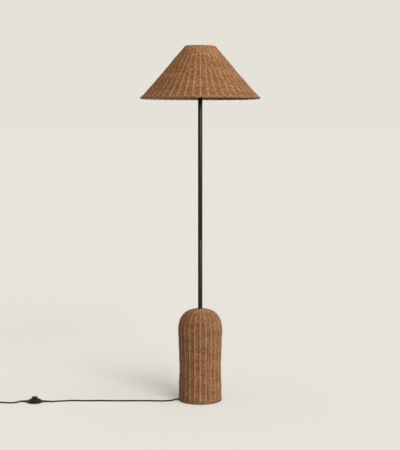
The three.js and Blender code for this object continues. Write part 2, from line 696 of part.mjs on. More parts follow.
/** The fluted ring that clamps the shade to the lampholder. */
function shadeNut() {
  const outline = new THREE.Shape();
  const count = SHADE_NUT_FLUTES * 2;
  for (let i = 0; i < count; i++) {
    const angle = (2 * Math.PI * (i + 1 / 2)) / count;
    const pair = Math.floor(i / 2) % 2;
    const radius = SHADE_NUT_RADIUS - pair * SHADE_NUT_FLUTE_DEPTH;
    const [x, y] = [radius * Math.cos(angle), radius * Math.sin(angle)];
    if (i === 0) outline.moveTo(x, y);
    else outline.lineTo(x, y);
  }
  outline.closePath();
  outline.holes.push(new THREE.Path().absarc(0, 0, HOLDER_RADIUS + GAP, 0, 2 * Math.PI, true));
  const ring = new THREE.ExtrudeGeometry(outline, {
    depth: SHADE_NUT_HEIGHT, bevelEnabled: false, curveSegments: ROUND_SIDES / 2,
  });
  return piece('shade_ring_nut', ring.translate(0, 0, SHADE_NUT_BOTTOM), BLACK_PLASTIC);
}

/** The bulb: contact tip, screw cap, opal glass and the stem of lights inside it. */
function bulb() {
  const tipBottom = CONTACT_TOP + GAP;
  const capBottom = tipBottom + BULB_TIP_HEIGHT + GAP;
  const capTop = capBottom + BULB_CAP_HEIGHT;
  const capBore = BULB_CAP_RADIUS - BULB_THREAD_DEPTH - BULB_CAP_WALL;
  const floorTop = capBottom + BULB_CAP_WALL;
  const threadPitch = (BULB_CAP_HEIGHT - BULB_CAP_WALL * 2) / BULB_THREAD_COUNT;
  const profile = [[0, capBottom], [BULB_TIP_RADIUS, capBottom]];
  for (let i = 0; i < BULB_THREAD_COUNT; i++) {
    const low = floorTop + threadPitch * i;
    profile.push([BULB_CAP_RADIUS - BULB_THREAD_DEPTH, low], [BULB_CAP_RADIUS, low + threadPitch / 2]);
  }
  profile.push(
    [BULB_CAP_RADIUS - BULB_THREAD_DEPTH, capTop - BULB_CAP_WALL], [BULB_CAP_RADIUS - BULB_THREAD_DEPTH, capTop],
    [capBore, capTop], [capBore, floorTop], [0, floorTop],
  );

  const neckRadius = capBore - GAP;
  const neckBottom = capTop - BULB_NECK_HEIGHT;
  const shoulder = capTop + GAP;
  const glassTop = shoulder + BULB_GLASS_HEIGHT;
  const bodyHeight = glassTop - BULB_GLASS_RADIUS;
  const flare = new THREE.CubicBezierCurve(
    new THREE.Vector2(neckRadius, shoulder),
    new THREE.Vector2(neckRadius, shoulder + (bodyHeight - shoulder) / 3),
    new THREE.Vector2(BULB_GLASS_RADIUS, bodyHeight - (bodyHeight - shoulder) / 2),
    new THREE.Vector2(BULB_GLASS_RADIUS, bodyHeight),
  ).getPoints(BULB_STEPS);
  const crown = [];
  for (let i = 1; i <= BULB_STEPS; i++) {
    const angle = (Math.PI / 2) * (i / BULB_STEPS);
    crown.push(new THREE.Vector2(
      BULB_GLASS_RADIUS * Math.cos(angle), bodyHeight + BULB_GLASS_RADIUS * Math.sin(angle),
    ));
  }
  const outside = [new THREE.Vector2(neckRadius, neckBottom), ...flare, ...crown];
  const inside = offsetOutline(outside, BULB_GLASS_WALL);
  inside[0].y = neckBottom;
  inside[inside.length - 1].set(0, glassTop - BULB_GLASS_WALL);
  outside[outside.length - 1].set(0, glassTop);
  const glass = [...inside.slice().reverse(), ...outside].map((point) => [point.x, point.y]);

  const stemBottom = floorTop + GAP;
  return groupAt(
    0, 0, 0,
    piece('bulb_contact_tip', disc(BULB_TIP_RADIUS, tipBottom, tipBottom + BULB_TIP_HEIGHT, SMALL_SIDES), BRASS),
    piece('bulb_screw_cap', turned(profile, BULB_SIDES), ALUMINIUM),
    piece('bulb_glass', turned(glass, BULB_SIDES), OPAL_GLASS),
    piece('bulb_light_stem', disc(BULB_STEM_RADIUS, stemBottom, stemBottom + BULB_STEM_HEIGHT, SMALL_SIDES), CERAMIC),
  );
}

/** The cone's outline from above its rim border up to its lip, in heights above the floor. */
function shadeOutline() {
  const points = shade_outline_shares.map(([height, radius]) => new THREE.Vector2(
    radius * SHADE_RIM_RADIUS, SHADE_BOTTOM + height * SHADE_HEIGHT,
  ));
  points[0].y = SHADE_BOTTOM + RIM_BORDER_HEIGHT + GAP;
  points[points.length - 1].y = LAMP_HEIGHT - SHADE_TOP_LIP;
  return points;
}

/** The shade's carrier: a flat ring on the lampholder with bent wire arms to the top wire. */
function shadeCarrier(armTop) {
  const ringTop = CARRIER_BOTTOM + CARRIER_RING_THICKNESS;
  const level = (CARRIER_BOTTOM + ringTop) / 2;
  const bendEnd = new THREE.Vector3(armTop.x, 0, armTop.y)
    .sub(new THREE.Vector3(CARRIER_BEND_RADIUS, 0, level)).setLength(CARRIER_BEND_SIZE)
    .add(new THREE.Vector3(CARRIER_BEND_RADIUS, 0, level));
  const bend = new THREE.QuadraticBezierCurve3(
    new THREE.Vector3(CARRIER_BEND_RADIUS - CARRIER_BEND_SIZE, 0, level),
    new THREE.Vector3(CARRIER_BEND_RADIUS, 0, level),
    bendEnd,
  );
  const points = [
    new THREE.Vector3(CARRIER_RING_RADIUS - CARRIER_ARM_BITE, 0, level),
    ...bend.getPoints(ARM_STEPS / 3),
    new THREE.Vector3(armTop.x, 0, armTop.y),
  ];
  let carrier = solid(pipe(HOLDER_RADIUS + GAP, CARRIER_RING_RADIUS, CARRIER_BOTTOM, ringTop));
  for (let i = 0; i < CARRIER_ARM_COUNT; i++) {
    const turn = Math.PI / 2 + (2 * Math.PI * i) / CARRIER_ARM_COUNT;
    carrier = carrier.add(solid(barThrough(points, CARRIER_ARM_RADIUS).rotateZ(turn)));
  }
  return piece('shade_carrier', geometryOf(carrier), BLACK_METAL);
}

/** The shade: woven cone, its two borders, and the wire frame inside it. */
function shade() {
  const group = new THREE.Group();
  const outline = shadeOutline();
  group.add(piece('shade_wicker_cone', wovenShell(outline, SHADE_WALL, shadeStakes, SHADE_BORE_STEP), WICKER));
  group.add(piece('shade_rim_border', ovalRing(
    SHADE_RIM_RADIUS - RIM_BORDER_WIDTH / 2, SHADE_BOTTOM + RIM_BORDER_HEIGHT / 2,
    RIM_BORDER_WIDTH / 2, RIM_BORDER_HEIGHT / 2, BORDER_CORNERS,
  ), BORDER));
  const lipRadius = outline[outline.length - 1].x;
  group.add(piece('shade_top_border', ovalRing(
    lipRadius - GAP - TOP_BORDER_WIDTH / 2, LAMP_HEIGHT - TOP_BORDER_HEIGHT / 2,
    TOP_BORDER_WIDTH / 2, TOP_BORDER_HEIGHT / 2, BORDER_CORNERS,
  ), BORDER));

  const wires = offsetOutline(outline, SHADE_WALL + GAP + SHADE_WIRE_RADIUS);
  const ribs = offsetOutline(outline, SHADE_WALL + GAP + SHADE_RIB_RADIUS);
  const pointAt = (points, distance, fromTop) => {
    const ordered = fromTop ? points.slice().reverse() : points;
    const way = ordered[1].clone().sub(ordered[0]).normalize();
    return ordered[0].clone().addScaledVector(way, distance);
  };
  const rimWire = pointAt(wires, RIM_WIRE_INSET, false);
  const topWire = pointAt(wires, TOP_WIRE_INSET, true);
  const ring = (at) => ovalRing(at.x, at.y, SHADE_WIRE_RADIUS, SHADE_WIRE_RADIUS);
  group.add(piece('shade_rim_wire', ring(rimWire), BLACK_METAL));
  group.add(piece('shade_top_wire', ring(topWire), BLACK_METAL));

  const clearOfWire = SHADE_WIRE_RADIUS + GAP;
  const run = [
    pointAt(ribs, RIM_WIRE_INSET + clearOfWire, false), ...ribs.slice(1, -1),
    pointAt(ribs, TOP_WIRE_INSET + clearOfWire, true),
  ].map((point) => new THREE.Vector3(point.x, 0, point.y));
  for (let i = 0; i < SHADE_RIB_COUNT; i++) {
    const rib = piece(`shade_rib_${i + 1}`, barThrough(run, SHADE_RIB_RADIUS), BLACK_METAL);
    rib.rotation.z = (2 * Math.PI * (i + 1 / 2)) / SHADE_RIB_COUNT;
    group.add(rib);
  }
  const armTop = new THREE.Vector2(topWire.x, topWire.y - SHADE_WIRE_RADIUS - GAP);
  group.add(shadeCarrier(armTop));
  return group;
}

/** The lead inside the lamp, from the grommet through the weight and up the pole to the lampholder. */
function innerLead() {
  const corner = [];
  const cornerSteps = ARM_STEPS / 2;
  for (let i = 0; i <= cornerSteps; i++) {
    const angle = ((Math.PI / 2) * i) / cornerSteps;
    corner.push(new THREE.Vector3(
      -LEAD_BEND_RADIUS * (1 - Math.sin(angle)), 0, LEAD_HEIGHT + LEAD_BEND_RADIUS * (1 - Math.cos(angle)),
    ));
  }
  const straight = [];
  const pieces = 4;
  for (let i = 1; i <= pieces; i++) {
    const foot = LEAD_HEIGHT + LEAD_BEND_RADIUS;
    straight.push(new THREE.Vector3(0, 0, foot + ((HOLDER_SPLIT - foot) * i) / pieces));
  }
  const points = [new THREE.Vector3(CORD_EXIT, 0, LEAD_HEIGHT), ...corner, ...straight];
  return piece('inner_lead', barThrough(points, CORD_DIAMETER / 2, CORD_SIDES), LEAD_SHEATH);
}

/** The rubber sleeve where the lead leaves the base. */
function cordGrommet() {
  const outside = -CORD_EXIT;
  const inside = outside - GROMMET_OUTSIDE - GROMMET_INSIDE;
  const sleeve = pipe(CORD_DIAMETER / 2 + GAP, GROMMET_RADIUS, inside, outside, SMALL_SIDES);
  const grommet = piece('cord_grommet', sleeve, BLACK_RUBBER);
  grommet.rotation.y = -Math.PI / 2;
  grommet.position.z = LEAD_HEIGHT;
  return grommet;
}

/** A free stretch of lead through hand-chosen points. */
function freeCord(name, route) {
  const curve = new THREE.CatmullRomCurve3(route.map((point) => new THREE.Vector3(...point)), false, 'centripetal');
  const steps = Math.round(curve.getLength() / CORD_STEP);
  return piece(name, bar(curve, CORD_DIAMETER / 2, steps, CORD_SIDES), LEAD_SHEATH);
}

/** The middle line of the coil: three turns in on the floor, a climb where it reverses, and back out above. */
function coilPoints() {
  const points = [];
  const turns = COIL_TURNS_IN + COIL_TURNS_OUT;
  const count = Math.round(turns * COIL_STEPS);
  for (let i = 0; i <= count; i++) {
    const turn = i / COIL_STEPS;
    const radius = COIL_INNER_RADIUS + COIL_PITCH * Math.abs(turn - COIL_TURNS_IN);
    const climb = THREE.MathUtils.clamp((turn - COIL_TURNS_IN) * 2 + 1 / 2, 0, 1);
    const angle = 2 * Math.PI * (COIL_START_TURN + turn);
    points.push(new THREE.Vector3(
      radius * Math.cos(angle), radius * Math.sin(angle),
      CORD_HEIGHT + COIL_PITCH * climb,
    ));
  }
  const straight = (from, way) => from.clone().addScaledVector(way, CORD_DIAMETER);
  points.unshift(straight(points[0], new THREE.Vector3(1, 0, 0)));
  points.push(straight(points[points.length - 1], new THREE.Vector3(0, -1, 0)));
  return points;
}

/** Prints the least gap between one turn of the coil and the others. */
function printCoilGap(points) {
  const skip = COIL_STEPS / 2;
  let least = Infinity;
  for (let i = 0; i < points.length; i++) {
    for (let j = i + skip; j < points.length; j++) {
      least = Math.min(least, points[i].distanceTo(points[j]) - CORD_DIAMETER);
    }
  }
  console.log(`cord_coil least gap to itself ${least.toFixed(2)} mm`);
}

/** The spare lead, wound as one unbroken cord. */
function cordCoil() {
  const points = coilPoints();
  printCoilGap(points);
  const coil = piece('cord_coil', barThrough(points, CORD_DIAMETER / 2, COIL_SIDES), LEAD_SHEATH);
  coil.position.set(COIL_X, COIL_Y, 0);
  return coil;
}

/** The tapered sleeve on the lead at one side of the switch, along +X at the height of the housings' split. */
function switchRelief(name) {
  const inside = SWITCH_RADIUS - RELIEF_INSIDE;
  const sleeve = turned([
    [0, inside], [RELIEF_RADIUS, inside], [RELIEF_RADIUS, SWITCH_RADIUS],
    [RELIEF_TIP_RADIUS, SWITCH_RADIUS + RELIEF_LENGTH], [0, SWITCH_RADIUS + RELIEF_LENGTH],
  ], SMALL_SIDES).rotateY(Math.PI / 2).translate(0, 0, SWITCH_SPLIT);
  return piece(name, sleeve, BLACK_RUBBER);
}

/** The foot switch: two housings, button, spring, terminal block, screws and the sleeves on its lead. */
function footSwitch() {
  const group = groupAt(SWITCH_X, SWITCH_Y, 0, switchRelief('switch_sleeve_lamp_side'));
  const farSleeve = switchRelief('switch_sleeve_plug_side');
  farSleeve.rotation.z = Math.PI;
  group.add(farSleeve);

  const bore = SWITCH_RADIUS - SWITCH_WALL;
  const baseTop = SWITCH_SPLIT;
  const coverBottom = baseTop + GAP;
  const sleeveHole = (side) => solid(disc(
    RELIEF_RADIUS + GAP, bore - SWITCH_WALL - RELIEF_INSIDE, SWITCH_RADIUS + CUT_OVERRUN, SMALL_SIDES,
  ).rotateY(side * Math.PI / 2).translate(0, 0, SWITCH_SPLIT));
  const postHole = (side) => solid(disc(
    SCREW_RADIUS + GAP, -CUT_OVERRUN, SWITCH_DOME_HEIGHT, SMALL_SIDES,
  ).translate(0, side * POST_PLACE, 0));
  const headSeat = (side) => solid(disc(
    SCREW_HEAD_RADIUS + GAP, -CUT_OVERRUN, SCREW_HEAD_HEIGHT + GAP, SMALL_SIDES,
  ).translate(0, side * POST_PLACE, 0));
  const footBevel = baseTop - GAP * 2;
  let base = solid(turned([
    [0, 0], [SWITCH_FOOT_RADIUS, 0], [SWITCH_RADIUS, footBevel], [SWITCH_RADIUS, baseTop], [bore, baseTop],
    [SWITCH_FOOT_RADIUS - SWITCH_WALL, SWITCH_FLOOR], [0, SWITCH_FLOOR],
  ]));
  for (const side of [1, -1]) {
    base = base.subtract(sleeveHole(side)).subtract(postHole(side)).subtract(headSeat(side));
  }
  group.add(piece('switch_base', geometryOf(base), BLACK_PLASTIC));

  const hole = BUTTON_NECK_RADIUS + GAP;
  const dome = (radius, top, mouth) => {
    const points = [];
    for (let i = 0; i <= DOME_STEPS; i++) {
      const share = i / DOME_STEPS;
      const across = radius + (mouth - radius) * share;
      points.push([across, coverBottom + (top - coverBottom) * Math.sin((Math.PI / 2) * share)]);
    }
    return points;
  };
  const outer = dome(SWITCH_RADIUS, SWITCH_DOME_HEIGHT, hole);
  const inner = dome(bore, SWITCH_DOME_HEIGHT - SWITCH_WALL, hole);
  const posts = [1, -1].map((side) => solid(disc(
    POST_RADIUS, coverBottom, coverBottom + SCREW_LENGTH, SMALL_SIDES,
  ).translate(0, side * POST_PLACE, 0)));
  let cover = solid(turned([...outer, ...inner.reverse(), outer[0]])).add(posts[0]).add(posts[1]);
  for (const side of [1, -1]) {
    const screwHole = solid(disc(SCREW_RADIUS + GAP, 0, SCREW_HEAD_HEIGHT + SCREW_LENGTH + GAP, SMALL_SIDES)
      .translate(0, side * POST_PLACE, 0));
    cover = cover.subtract(sleeveHole(side)).subtract(screwHole);
  }
  group.add(piece('switch_cover', geometryOf(cover), BLACK_PLASTIC));

  const capBottom = SWITCH_DOME_HEIGHT + BUTTON_TRAVEL + GAP;
  const capTop = capBottom + BUTTON_CAP_THICKNESS;
  const flangeTop = SWITCH_DOME_HEIGHT - SWITCH_WALL - GAP;
  const flangeBottom = flangeTop - BUTTON_FLANGE_THICKNESS;
  const stemBottom = SWITCH_FLOOR + TERMINAL_HEIGHT + GAP * 2 + BUTTON_TRAVEL;
  const edge = BUTTON_CAP_THICKNESS / 3;
  group.add(piece('switch_button', turned([
    [0, stemBottom], [BUTTON_STEM_RADIUS, stemBottom], [BUTTON_STEM_RADIUS, flangeBottom],
    [BUTTON_FLANGE_RADIUS, flangeBottom], [BUTTON_FLANGE_RADIUS, flangeTop], [BUTTON_NECK_RADIUS, flangeTop],
    [BUTTON_NECK_RADIUS, capBottom], [BUTTON_RADIUS, capBottom + edge], [BUTTON_RADIUS, capTop - edge],
    [BUTTON_RADIUS - edge, capTop], [0, capTop],
  ]), BLACK_PLASTIC));

  const blockBottom = SWITCH_FLOOR + GAP;
  const blockTop = SWITCH_FLOOR + TERMINAL_HEIGHT;
  group.add(piece('switch_terminal_block', block(
    [-TERMINAL_LENGTH / 2, -TERMINAL_WIDTH / 2, blockBottom], [TERMINAL_LENGTH / 2, TERMINAL_WIDTH / 2, blockTop],
  ), CERAMIC));
  group.add(piece('switch_spring', pipe(
    SPRING_RADIUS - SPRING_WIRE, SPRING_RADIUS, blockTop + GAP, flangeBottom - GAP, SMALL_SIDES,
  ), STEEL));
  for (const [i, side] of [1, -1].entries()) {
    const screw = piece(`switch_cover_screw_${i + 1}`, turned([
      [0, GAP], [SCREW_HEAD_RADIUS, GAP], [SCREW_HEAD_RADIUS, SCREW_HEAD_HEIGHT], [SCREW_RADIUS, SCREW_HEAD_HEIGHT],
      [SCREW_RADIUS, SCREW_HEAD_HEIGHT + SCREW_LENGTH], [0, SCREW_HEAD_HEIGHT + SCREW_LENGTH],
    ], SMALL_SIDES), STEEL);
    screw.position.y = side * POST_PLACE;
    group.add(screw);
  }
  return group;
}

/** The flat two-pin plug, with its sleeve moulded on, lying beside the coil. */
function plug() {
  const neck = PLUG_RELIEF_LENGTH;
  const face = neck + PLUG_LENGTH;
  const middle = PLUG_THICKNESS / 2;
  const reach = PLUG_BEVEL;
  const outline = new THREE.Shape();
  outline.moveTo(neck + reach, -PLUG_NECK_WIDTH / 2 + reach);
  outline.lineTo(neck + PLUG_LENGTH / 2, -PLUG_WIDTH / 2 + reach);
  outline.lineTo(face - reach, -PLUG_WIDTH / 2 + reach);
  outline.lineTo(face - reach, PLUG_WIDTH / 2 - reach);
  outline.lineTo(neck + PLUG_LENGTH / 2, PLUG_WIDTH / 2 - reach);
  outline.lineTo(neck + reach, PLUG_NECK_WIDTH / 2 - reach);
  outline.closePath();
  const shape = new THREE.ExtrudeGeometry(outline, {
    depth: PLUG_THICKNESS - 2 * PLUG_BEVEL, bevelThickness: PLUG_BEVEL, bevelSize: reach, bevelSegments: 2,
  }).translate(0, 0, PLUG_BEVEL);
  const sleeve = turned([
    [0, 0], [PLUG_RELIEF_TIP_RADIUS, 0], [PLUG_RELIEF_RADIUS, neck + PLUG_BEVEL + CUT_OVERRUN],
    [0, neck + PLUG_BEVEL + CUT_OVERRUN],
  ], SMALL_SIDES).rotateY(Math.PI / 2).translate(0, 0, middle);
  let body = solid(shape).add(solid(sleeve));
  const pins = [];
  for (const [i, side] of [1, -1].entries()) {
    const place = (side * PIN_SPACING) / 2;
    const seat = disc(PIN_RADIUS + GAP, face - PIN_SEAT_DEPTH, face + CUT_OVERRUN, SMALL_SIDES);
    body = body.subtract(solid(seat.rotateY(Math.PI / 2).translate(0, place, middle)));
    const start = face - PIN_SEAT_DEPTH + GAP;
    const pin = disc(PIN_RADIUS, start, face + PIN_LENGTH, SMALL_SIDES);
    pins.push(piece(`plug_pin_${i + 1}`, pin.rotateY(Math.PI / 2).translate(0, place, middle), BRASS));
  }
  const group = groupAt(PLUG_X, PLUG_Y, 0, piece('plug_body', geometryOf(body), BLACK_PLASTIC), ...pins);
  group.rotation.z = -Math.PI / 2;
  return group;
}

const lamp = new THREE.Group();
lamp.name = 'rattan_floor_lamp';
lamp.add(
  weightedFoot(),
  wickerBase(),
  pole(),
  lampholder(),
  bulb(),
  shade(),
  shadeNut(),
  innerLead(),
  cordGrommet(),
  freeCord('cord_base_to_switch', CORD_TO_SWITCH),
  footSwitch(),
  freeCord('cord_switch_to_coil', CORD_TO_COIL),
  cordCoil(),
  freeCord('cord_coil_to_plug', CORD_TO_PLUG),
  plug(),
);

export default lamp;
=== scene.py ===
"""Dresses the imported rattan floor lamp: cords, weave, metalwork, switch, plug, studio and camera."""

import logging
import math
from dataclasses import dataclass
from enum import Enum
from functools import cache
from typing import Callable, Sequence

import bmesh
import bpy
import numpy as np
from mathutils import Matrix, Vector


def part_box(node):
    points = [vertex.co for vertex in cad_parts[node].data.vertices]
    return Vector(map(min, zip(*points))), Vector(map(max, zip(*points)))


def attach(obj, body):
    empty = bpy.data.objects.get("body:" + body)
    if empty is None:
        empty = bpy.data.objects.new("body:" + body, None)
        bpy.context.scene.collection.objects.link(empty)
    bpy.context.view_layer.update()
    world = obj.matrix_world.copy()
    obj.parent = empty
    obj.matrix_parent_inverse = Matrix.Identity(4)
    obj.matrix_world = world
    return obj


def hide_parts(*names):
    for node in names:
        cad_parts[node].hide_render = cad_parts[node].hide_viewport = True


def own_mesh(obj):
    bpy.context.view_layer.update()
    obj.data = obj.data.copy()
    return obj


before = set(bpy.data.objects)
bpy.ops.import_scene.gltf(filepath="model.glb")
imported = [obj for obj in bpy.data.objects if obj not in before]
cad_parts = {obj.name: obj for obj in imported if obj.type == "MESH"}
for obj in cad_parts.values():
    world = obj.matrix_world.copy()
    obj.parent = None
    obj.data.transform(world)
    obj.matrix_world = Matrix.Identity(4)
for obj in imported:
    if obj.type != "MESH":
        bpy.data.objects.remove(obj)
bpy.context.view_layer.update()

LOG = logging.getLogger("lamp")
MM = 0.001
FULL_TURN = 2 * math.pi
SMOOTH_ANGLE = math.radians(38)
WELD = 1e-7
SLIVER = 1e-8

Point = tuple[float, float, float]
Colour = tuple[float, float, float]
Span = tuple[float, float]
Profile = Sequence[tuple[float, float]]
Values = np.ndarray | float
Proudness = Callable[[np.ndarray], np.ndarray]
Shape = bmesh.types.BMesh
Piece = bpy.types.Object


class Axis(Enum):
    """A direction that a piece made about +Z is laid along: the turn, and the axis it is made about."""

    UP = (0.0, "Y")
    TO_PLUS_X = (math.pi / 2, "Y")
    TO_MINUS_X = (-math.pi / 2, "Y")
    TO_MINUS_Y = (math.pi / 2, "X")


# Shader graphs


@dataclass
class Signal:
    """A socket's value in a node graph, with arithmetic that adds Math nodes."""

    graph: "Graph"
    socket: bpy.types.NodeSocket

    def joined(self, operation: str, other: "Signal | float") -> "Signal":
        """A Math node of this and other."""
        return self.graph.node("ShaderNodeMath", {0: self, 1: other}, operation=operation)

    def __add__(self, other: "Signal | float") -> "Signal":
        """This plus other."""
        return self.joined("ADD", other)

    def __sub__(self, other: "Signal | float") -> "Signal":
        """This minus other."""
        return self.joined("SUBTRACT", other)

    def __mul__(self, other: "Signal | float") -> "Signal":
        """This times other."""
        return self.joined("MULTIPLY", other)

    def held(self) -> "Signal":
        """This, kept from 0 to 1."""
        return self.graph.node("ShaderNodeClamp", {0: self})

    def spread(self, low: float, high: float) -> "Signal":
        """This, from 0 to 1, laid out between two values."""
        return self * (high - low) + low


class Graph:
    """The node graph of one material or world."""

    MIX_FACTOR, MIX_A, MIX_B, MIX_RESULT = 0, 6, 7, 2

    def __init__(self, owner: bpy.types.Material | bpy.types.World) -> None:
        """Empties the graph of its owner.

        Args:
            owner: The material or world.
        """
        owner.use_nodes = True
        self.owner, self.tree = owner, owner.node_tree
        self.tree.nodes.clear()

    def node(self, kind: str, inputs: dict, output: int | str = 0, **settings: str) -> Signal:
        """Adds a node.

        Args:
            kind: The node's type.
            inputs: Signals, numbers, colours or vectors by input name or number.
            output: The output's name or number.
            settings: The node's own choices.

        Returns:
            The node's output.
        """
        made = self.tree.nodes.new(kind)
        for key, value in settings.items():
            setattr(made, key, value)
        for key, value in inputs.items():
            socket = made.inputs[key]
            if isinstance(value, Signal):
                self.tree.links.new(value.socket, socket)
            elif isinstance(value, tuple):
                socket.default_value = (*value, 1.0)[:len(socket.default_value)]
            else:
                socket.default_value = value
        return Signal(self, made.outputs[output])

    def show(self, shader: Signal, kind: str = "ShaderNodeOutputMaterial") -> None:
        """Ends the graph in a shader."""
        self.tree.links.new(shader.socket, self.tree.nodes.new(kind).inputs[0])

    def noise(self, scale: float, detail: float = 3.0, stretch: Point | None = None) -> Signal:
        """Noise from 0 to 1 on Object coordinates.

        Args:
            scale: Features per metre.
            detail: Octaves.
            stretch: How much finer the noise is along each axis.

        Returns:
            The noise.
        """
        place = self.node("ShaderNodeTexCoord", {}, "Object")
        if stretch:
            place = self.node("ShaderNodeMapping", {"Vector": place, "Scale": stretch})
        return self.node("ShaderNodeTexNoise", {"Vector": place, "Scale": scale, "Detail": detail})

    def mix(self, share: Signal | float, low: Signal | Colour, high: Signal | Colour, blend: str = "MIX") -> Signal:
        """The second colour over the first, by a share."""
        inputs = {self.MIX_FACTOR: share, self.MIX_A: low, self.MIX_B: high}
        return self.node("ShaderNodeMix", inputs, self.MIX_RESULT, data_type="RGBA", blend_type=blend)

    def principled(self, relief: Signal, depth: float, inputs: dict) -> bpy.types.Material:
        """Ends the graph in a Principled shader.

        Args:
            relief: The height of its bumps, from 0 to 1.
            depth: The height of 1, in metres.
            inputs: Its other inputs.

        Returns:
            The material.
        """
        normal = self.node("ShaderNodeBump", {"Height": relief, "Distance": depth}, "Normal")
        self.show(self.node("ShaderNodeBsdfPrincipled", {**inputs, "Normal": normal}))
        return self.owner


# Finishes


@dataclass(frozen=True)
class CaneFinish:
    """Round cane in a weave: its own colour where it stands proud, with painted shade that darkens it down in the
    hollows.
    """

    name: str
    proud_warm: Colour = (0.540, 0.257, 0.107)
    proud_pale: Colour = (0.668, 0.382, 0.192)
    # Painted shade: the cane's colours where it lies deep in the weave.
    shaded_hollow_warm: Colour = (0.245, 0.087, 0.022)
    shaded_hollow_grey: Colour = (0.285, 0.120, 0.038)
    tone_weight: float = 0.8
    patch_scale: float = 7.0
    patch_weight: float = 0.4
    warmth_drop: float = 0.1
    proud_weight: float = 1.1
    mottle_scale: float = 80.0
    mottle_depth: float = 1.4
    mottle_detail: float = 1.0
    mottle_stretch: Point = (1.0, 1.0, 1.5)
    fleck_scale: float = 260.0
    fleck_depth: float = 0.5
    fleck_stretch: Point = (1.0, 1.0, 0.45)
    # Painted shade in the pits of the fine bump: the ramp's stops and how strongly it darkens the colour.
    pit_shade_stops: tuple[tuple[float, Colour], ...] = ((0.3, (0.70, 0.66, 0.62)), (0.62, (1.0, 1.0, 1.0)))
    pit_shade_weight: float = 0.7
    roughness: Span = (0.48, 0.72)
    bump_height: float = 0.12 * MM
    mirror: float = 0.4

    def make(self) -> bpy.types.Material:
        """Builds the material.

        Returns:
            The material.
        """
        graph = Graph(bpy.data.materials.new(self.name))
        proud, tone = (graph.node("ShaderNodeAttribute", {}, "Fac", attribute_name=name) for name in ("proud", "tone"))
        patch = graph.noise(self.patch_scale)
        fleck = graph.noise(self.fleck_scale, stretch=self.fleck_stretch)
        warmth = (tone * self.tone_weight + patch * self.patch_weight - self.warmth_drop).held()
        raised = graph.mix(warmth, self.proud_warm, self.proud_pale)
        # Painted shade colour for the hollows of the weave.
        sunk = graph.mix(warmth, self.shaded_hollow_warm, self.shaded_hollow_grey)
        mottle = (graph.noise(self.mottle_scale, self.mottle_detail, self.mottle_stretch) - 0.5) * self.mottle_depth
        # Share of the cane's own colour over the painted shade: proud cane gets its own colour, deep cane the shade,
        # varied at random by mottle and flecks.
        lit_share = (proud * self.proud_weight + mottle + (fleck - 0.5) * self.fleck_depth).held()
        # Painted shade: the low points of the fine bump are darkened.
        shadow = graph.node("ShaderNodeValToRGB", {"Fac": fleck}, "Color")
        for element, (at, colour) in zip(shadow.socket.node.color_ramp.elements, self.pit_shade_stops):
            element.position, element.color = at, (*colour, 1.0)
        return graph.principled(fleck, self.bump_height, {
            "Base Color": graph.mix(self.pit_shade_weight, graph.mix(lit_share, sunk, raised), shadow, "MULTIPLY"),
            "Roughness": fleck.spread(*self.roughness), "Specular IOR Level": self.mirror,
        })


@dataclass(frozen=True)
class GrainedFinish:
    """A plain finish with a fine grain: paint, moulded plastic, rubber, cast iron, ceramic, felt."""

    name: str
    colour: Colour
    roughness: Span
    grain_scale: float
    grain_height: float
    metallic: float = 0.0
    mottle: float = 0.18
    mottle_scale: float = 24.0
    mottle_weight: float = 0.6
    grain_detail: float = 2.0
    coat: float = 0.0
    sheen: float = 0.0
    mirror: float = 0.5

    def make(self) -> bpy.types.Material:
        """Builds the material.

        Returns:
            The material.
        """
        graph = Graph(bpy.data.materials.new(self.name))
        grain, mottle = graph.noise(self.grain_scale, self.grain_detail), graph.noise(self.mottle_scale)
        dark, light = (tuple(min(c * (1 + side * self.mottle), 1.0) for c in self.colour) for side in (-1, 1))
        rough = mottle * self.mottle_weight + grain * (1 - self.mottle_weight)
        return graph.principled(grain, self.grain_height, {
            "Base Color": graph.mix(mottle, dark, light), "Roughness": rough.spread(*self.roughness),
            "Metallic": self.metallic, "Coat Weight": self.coat, "Sheen Weight": self.sheen,
            "Specular IOR Level": self.mirror,
        })


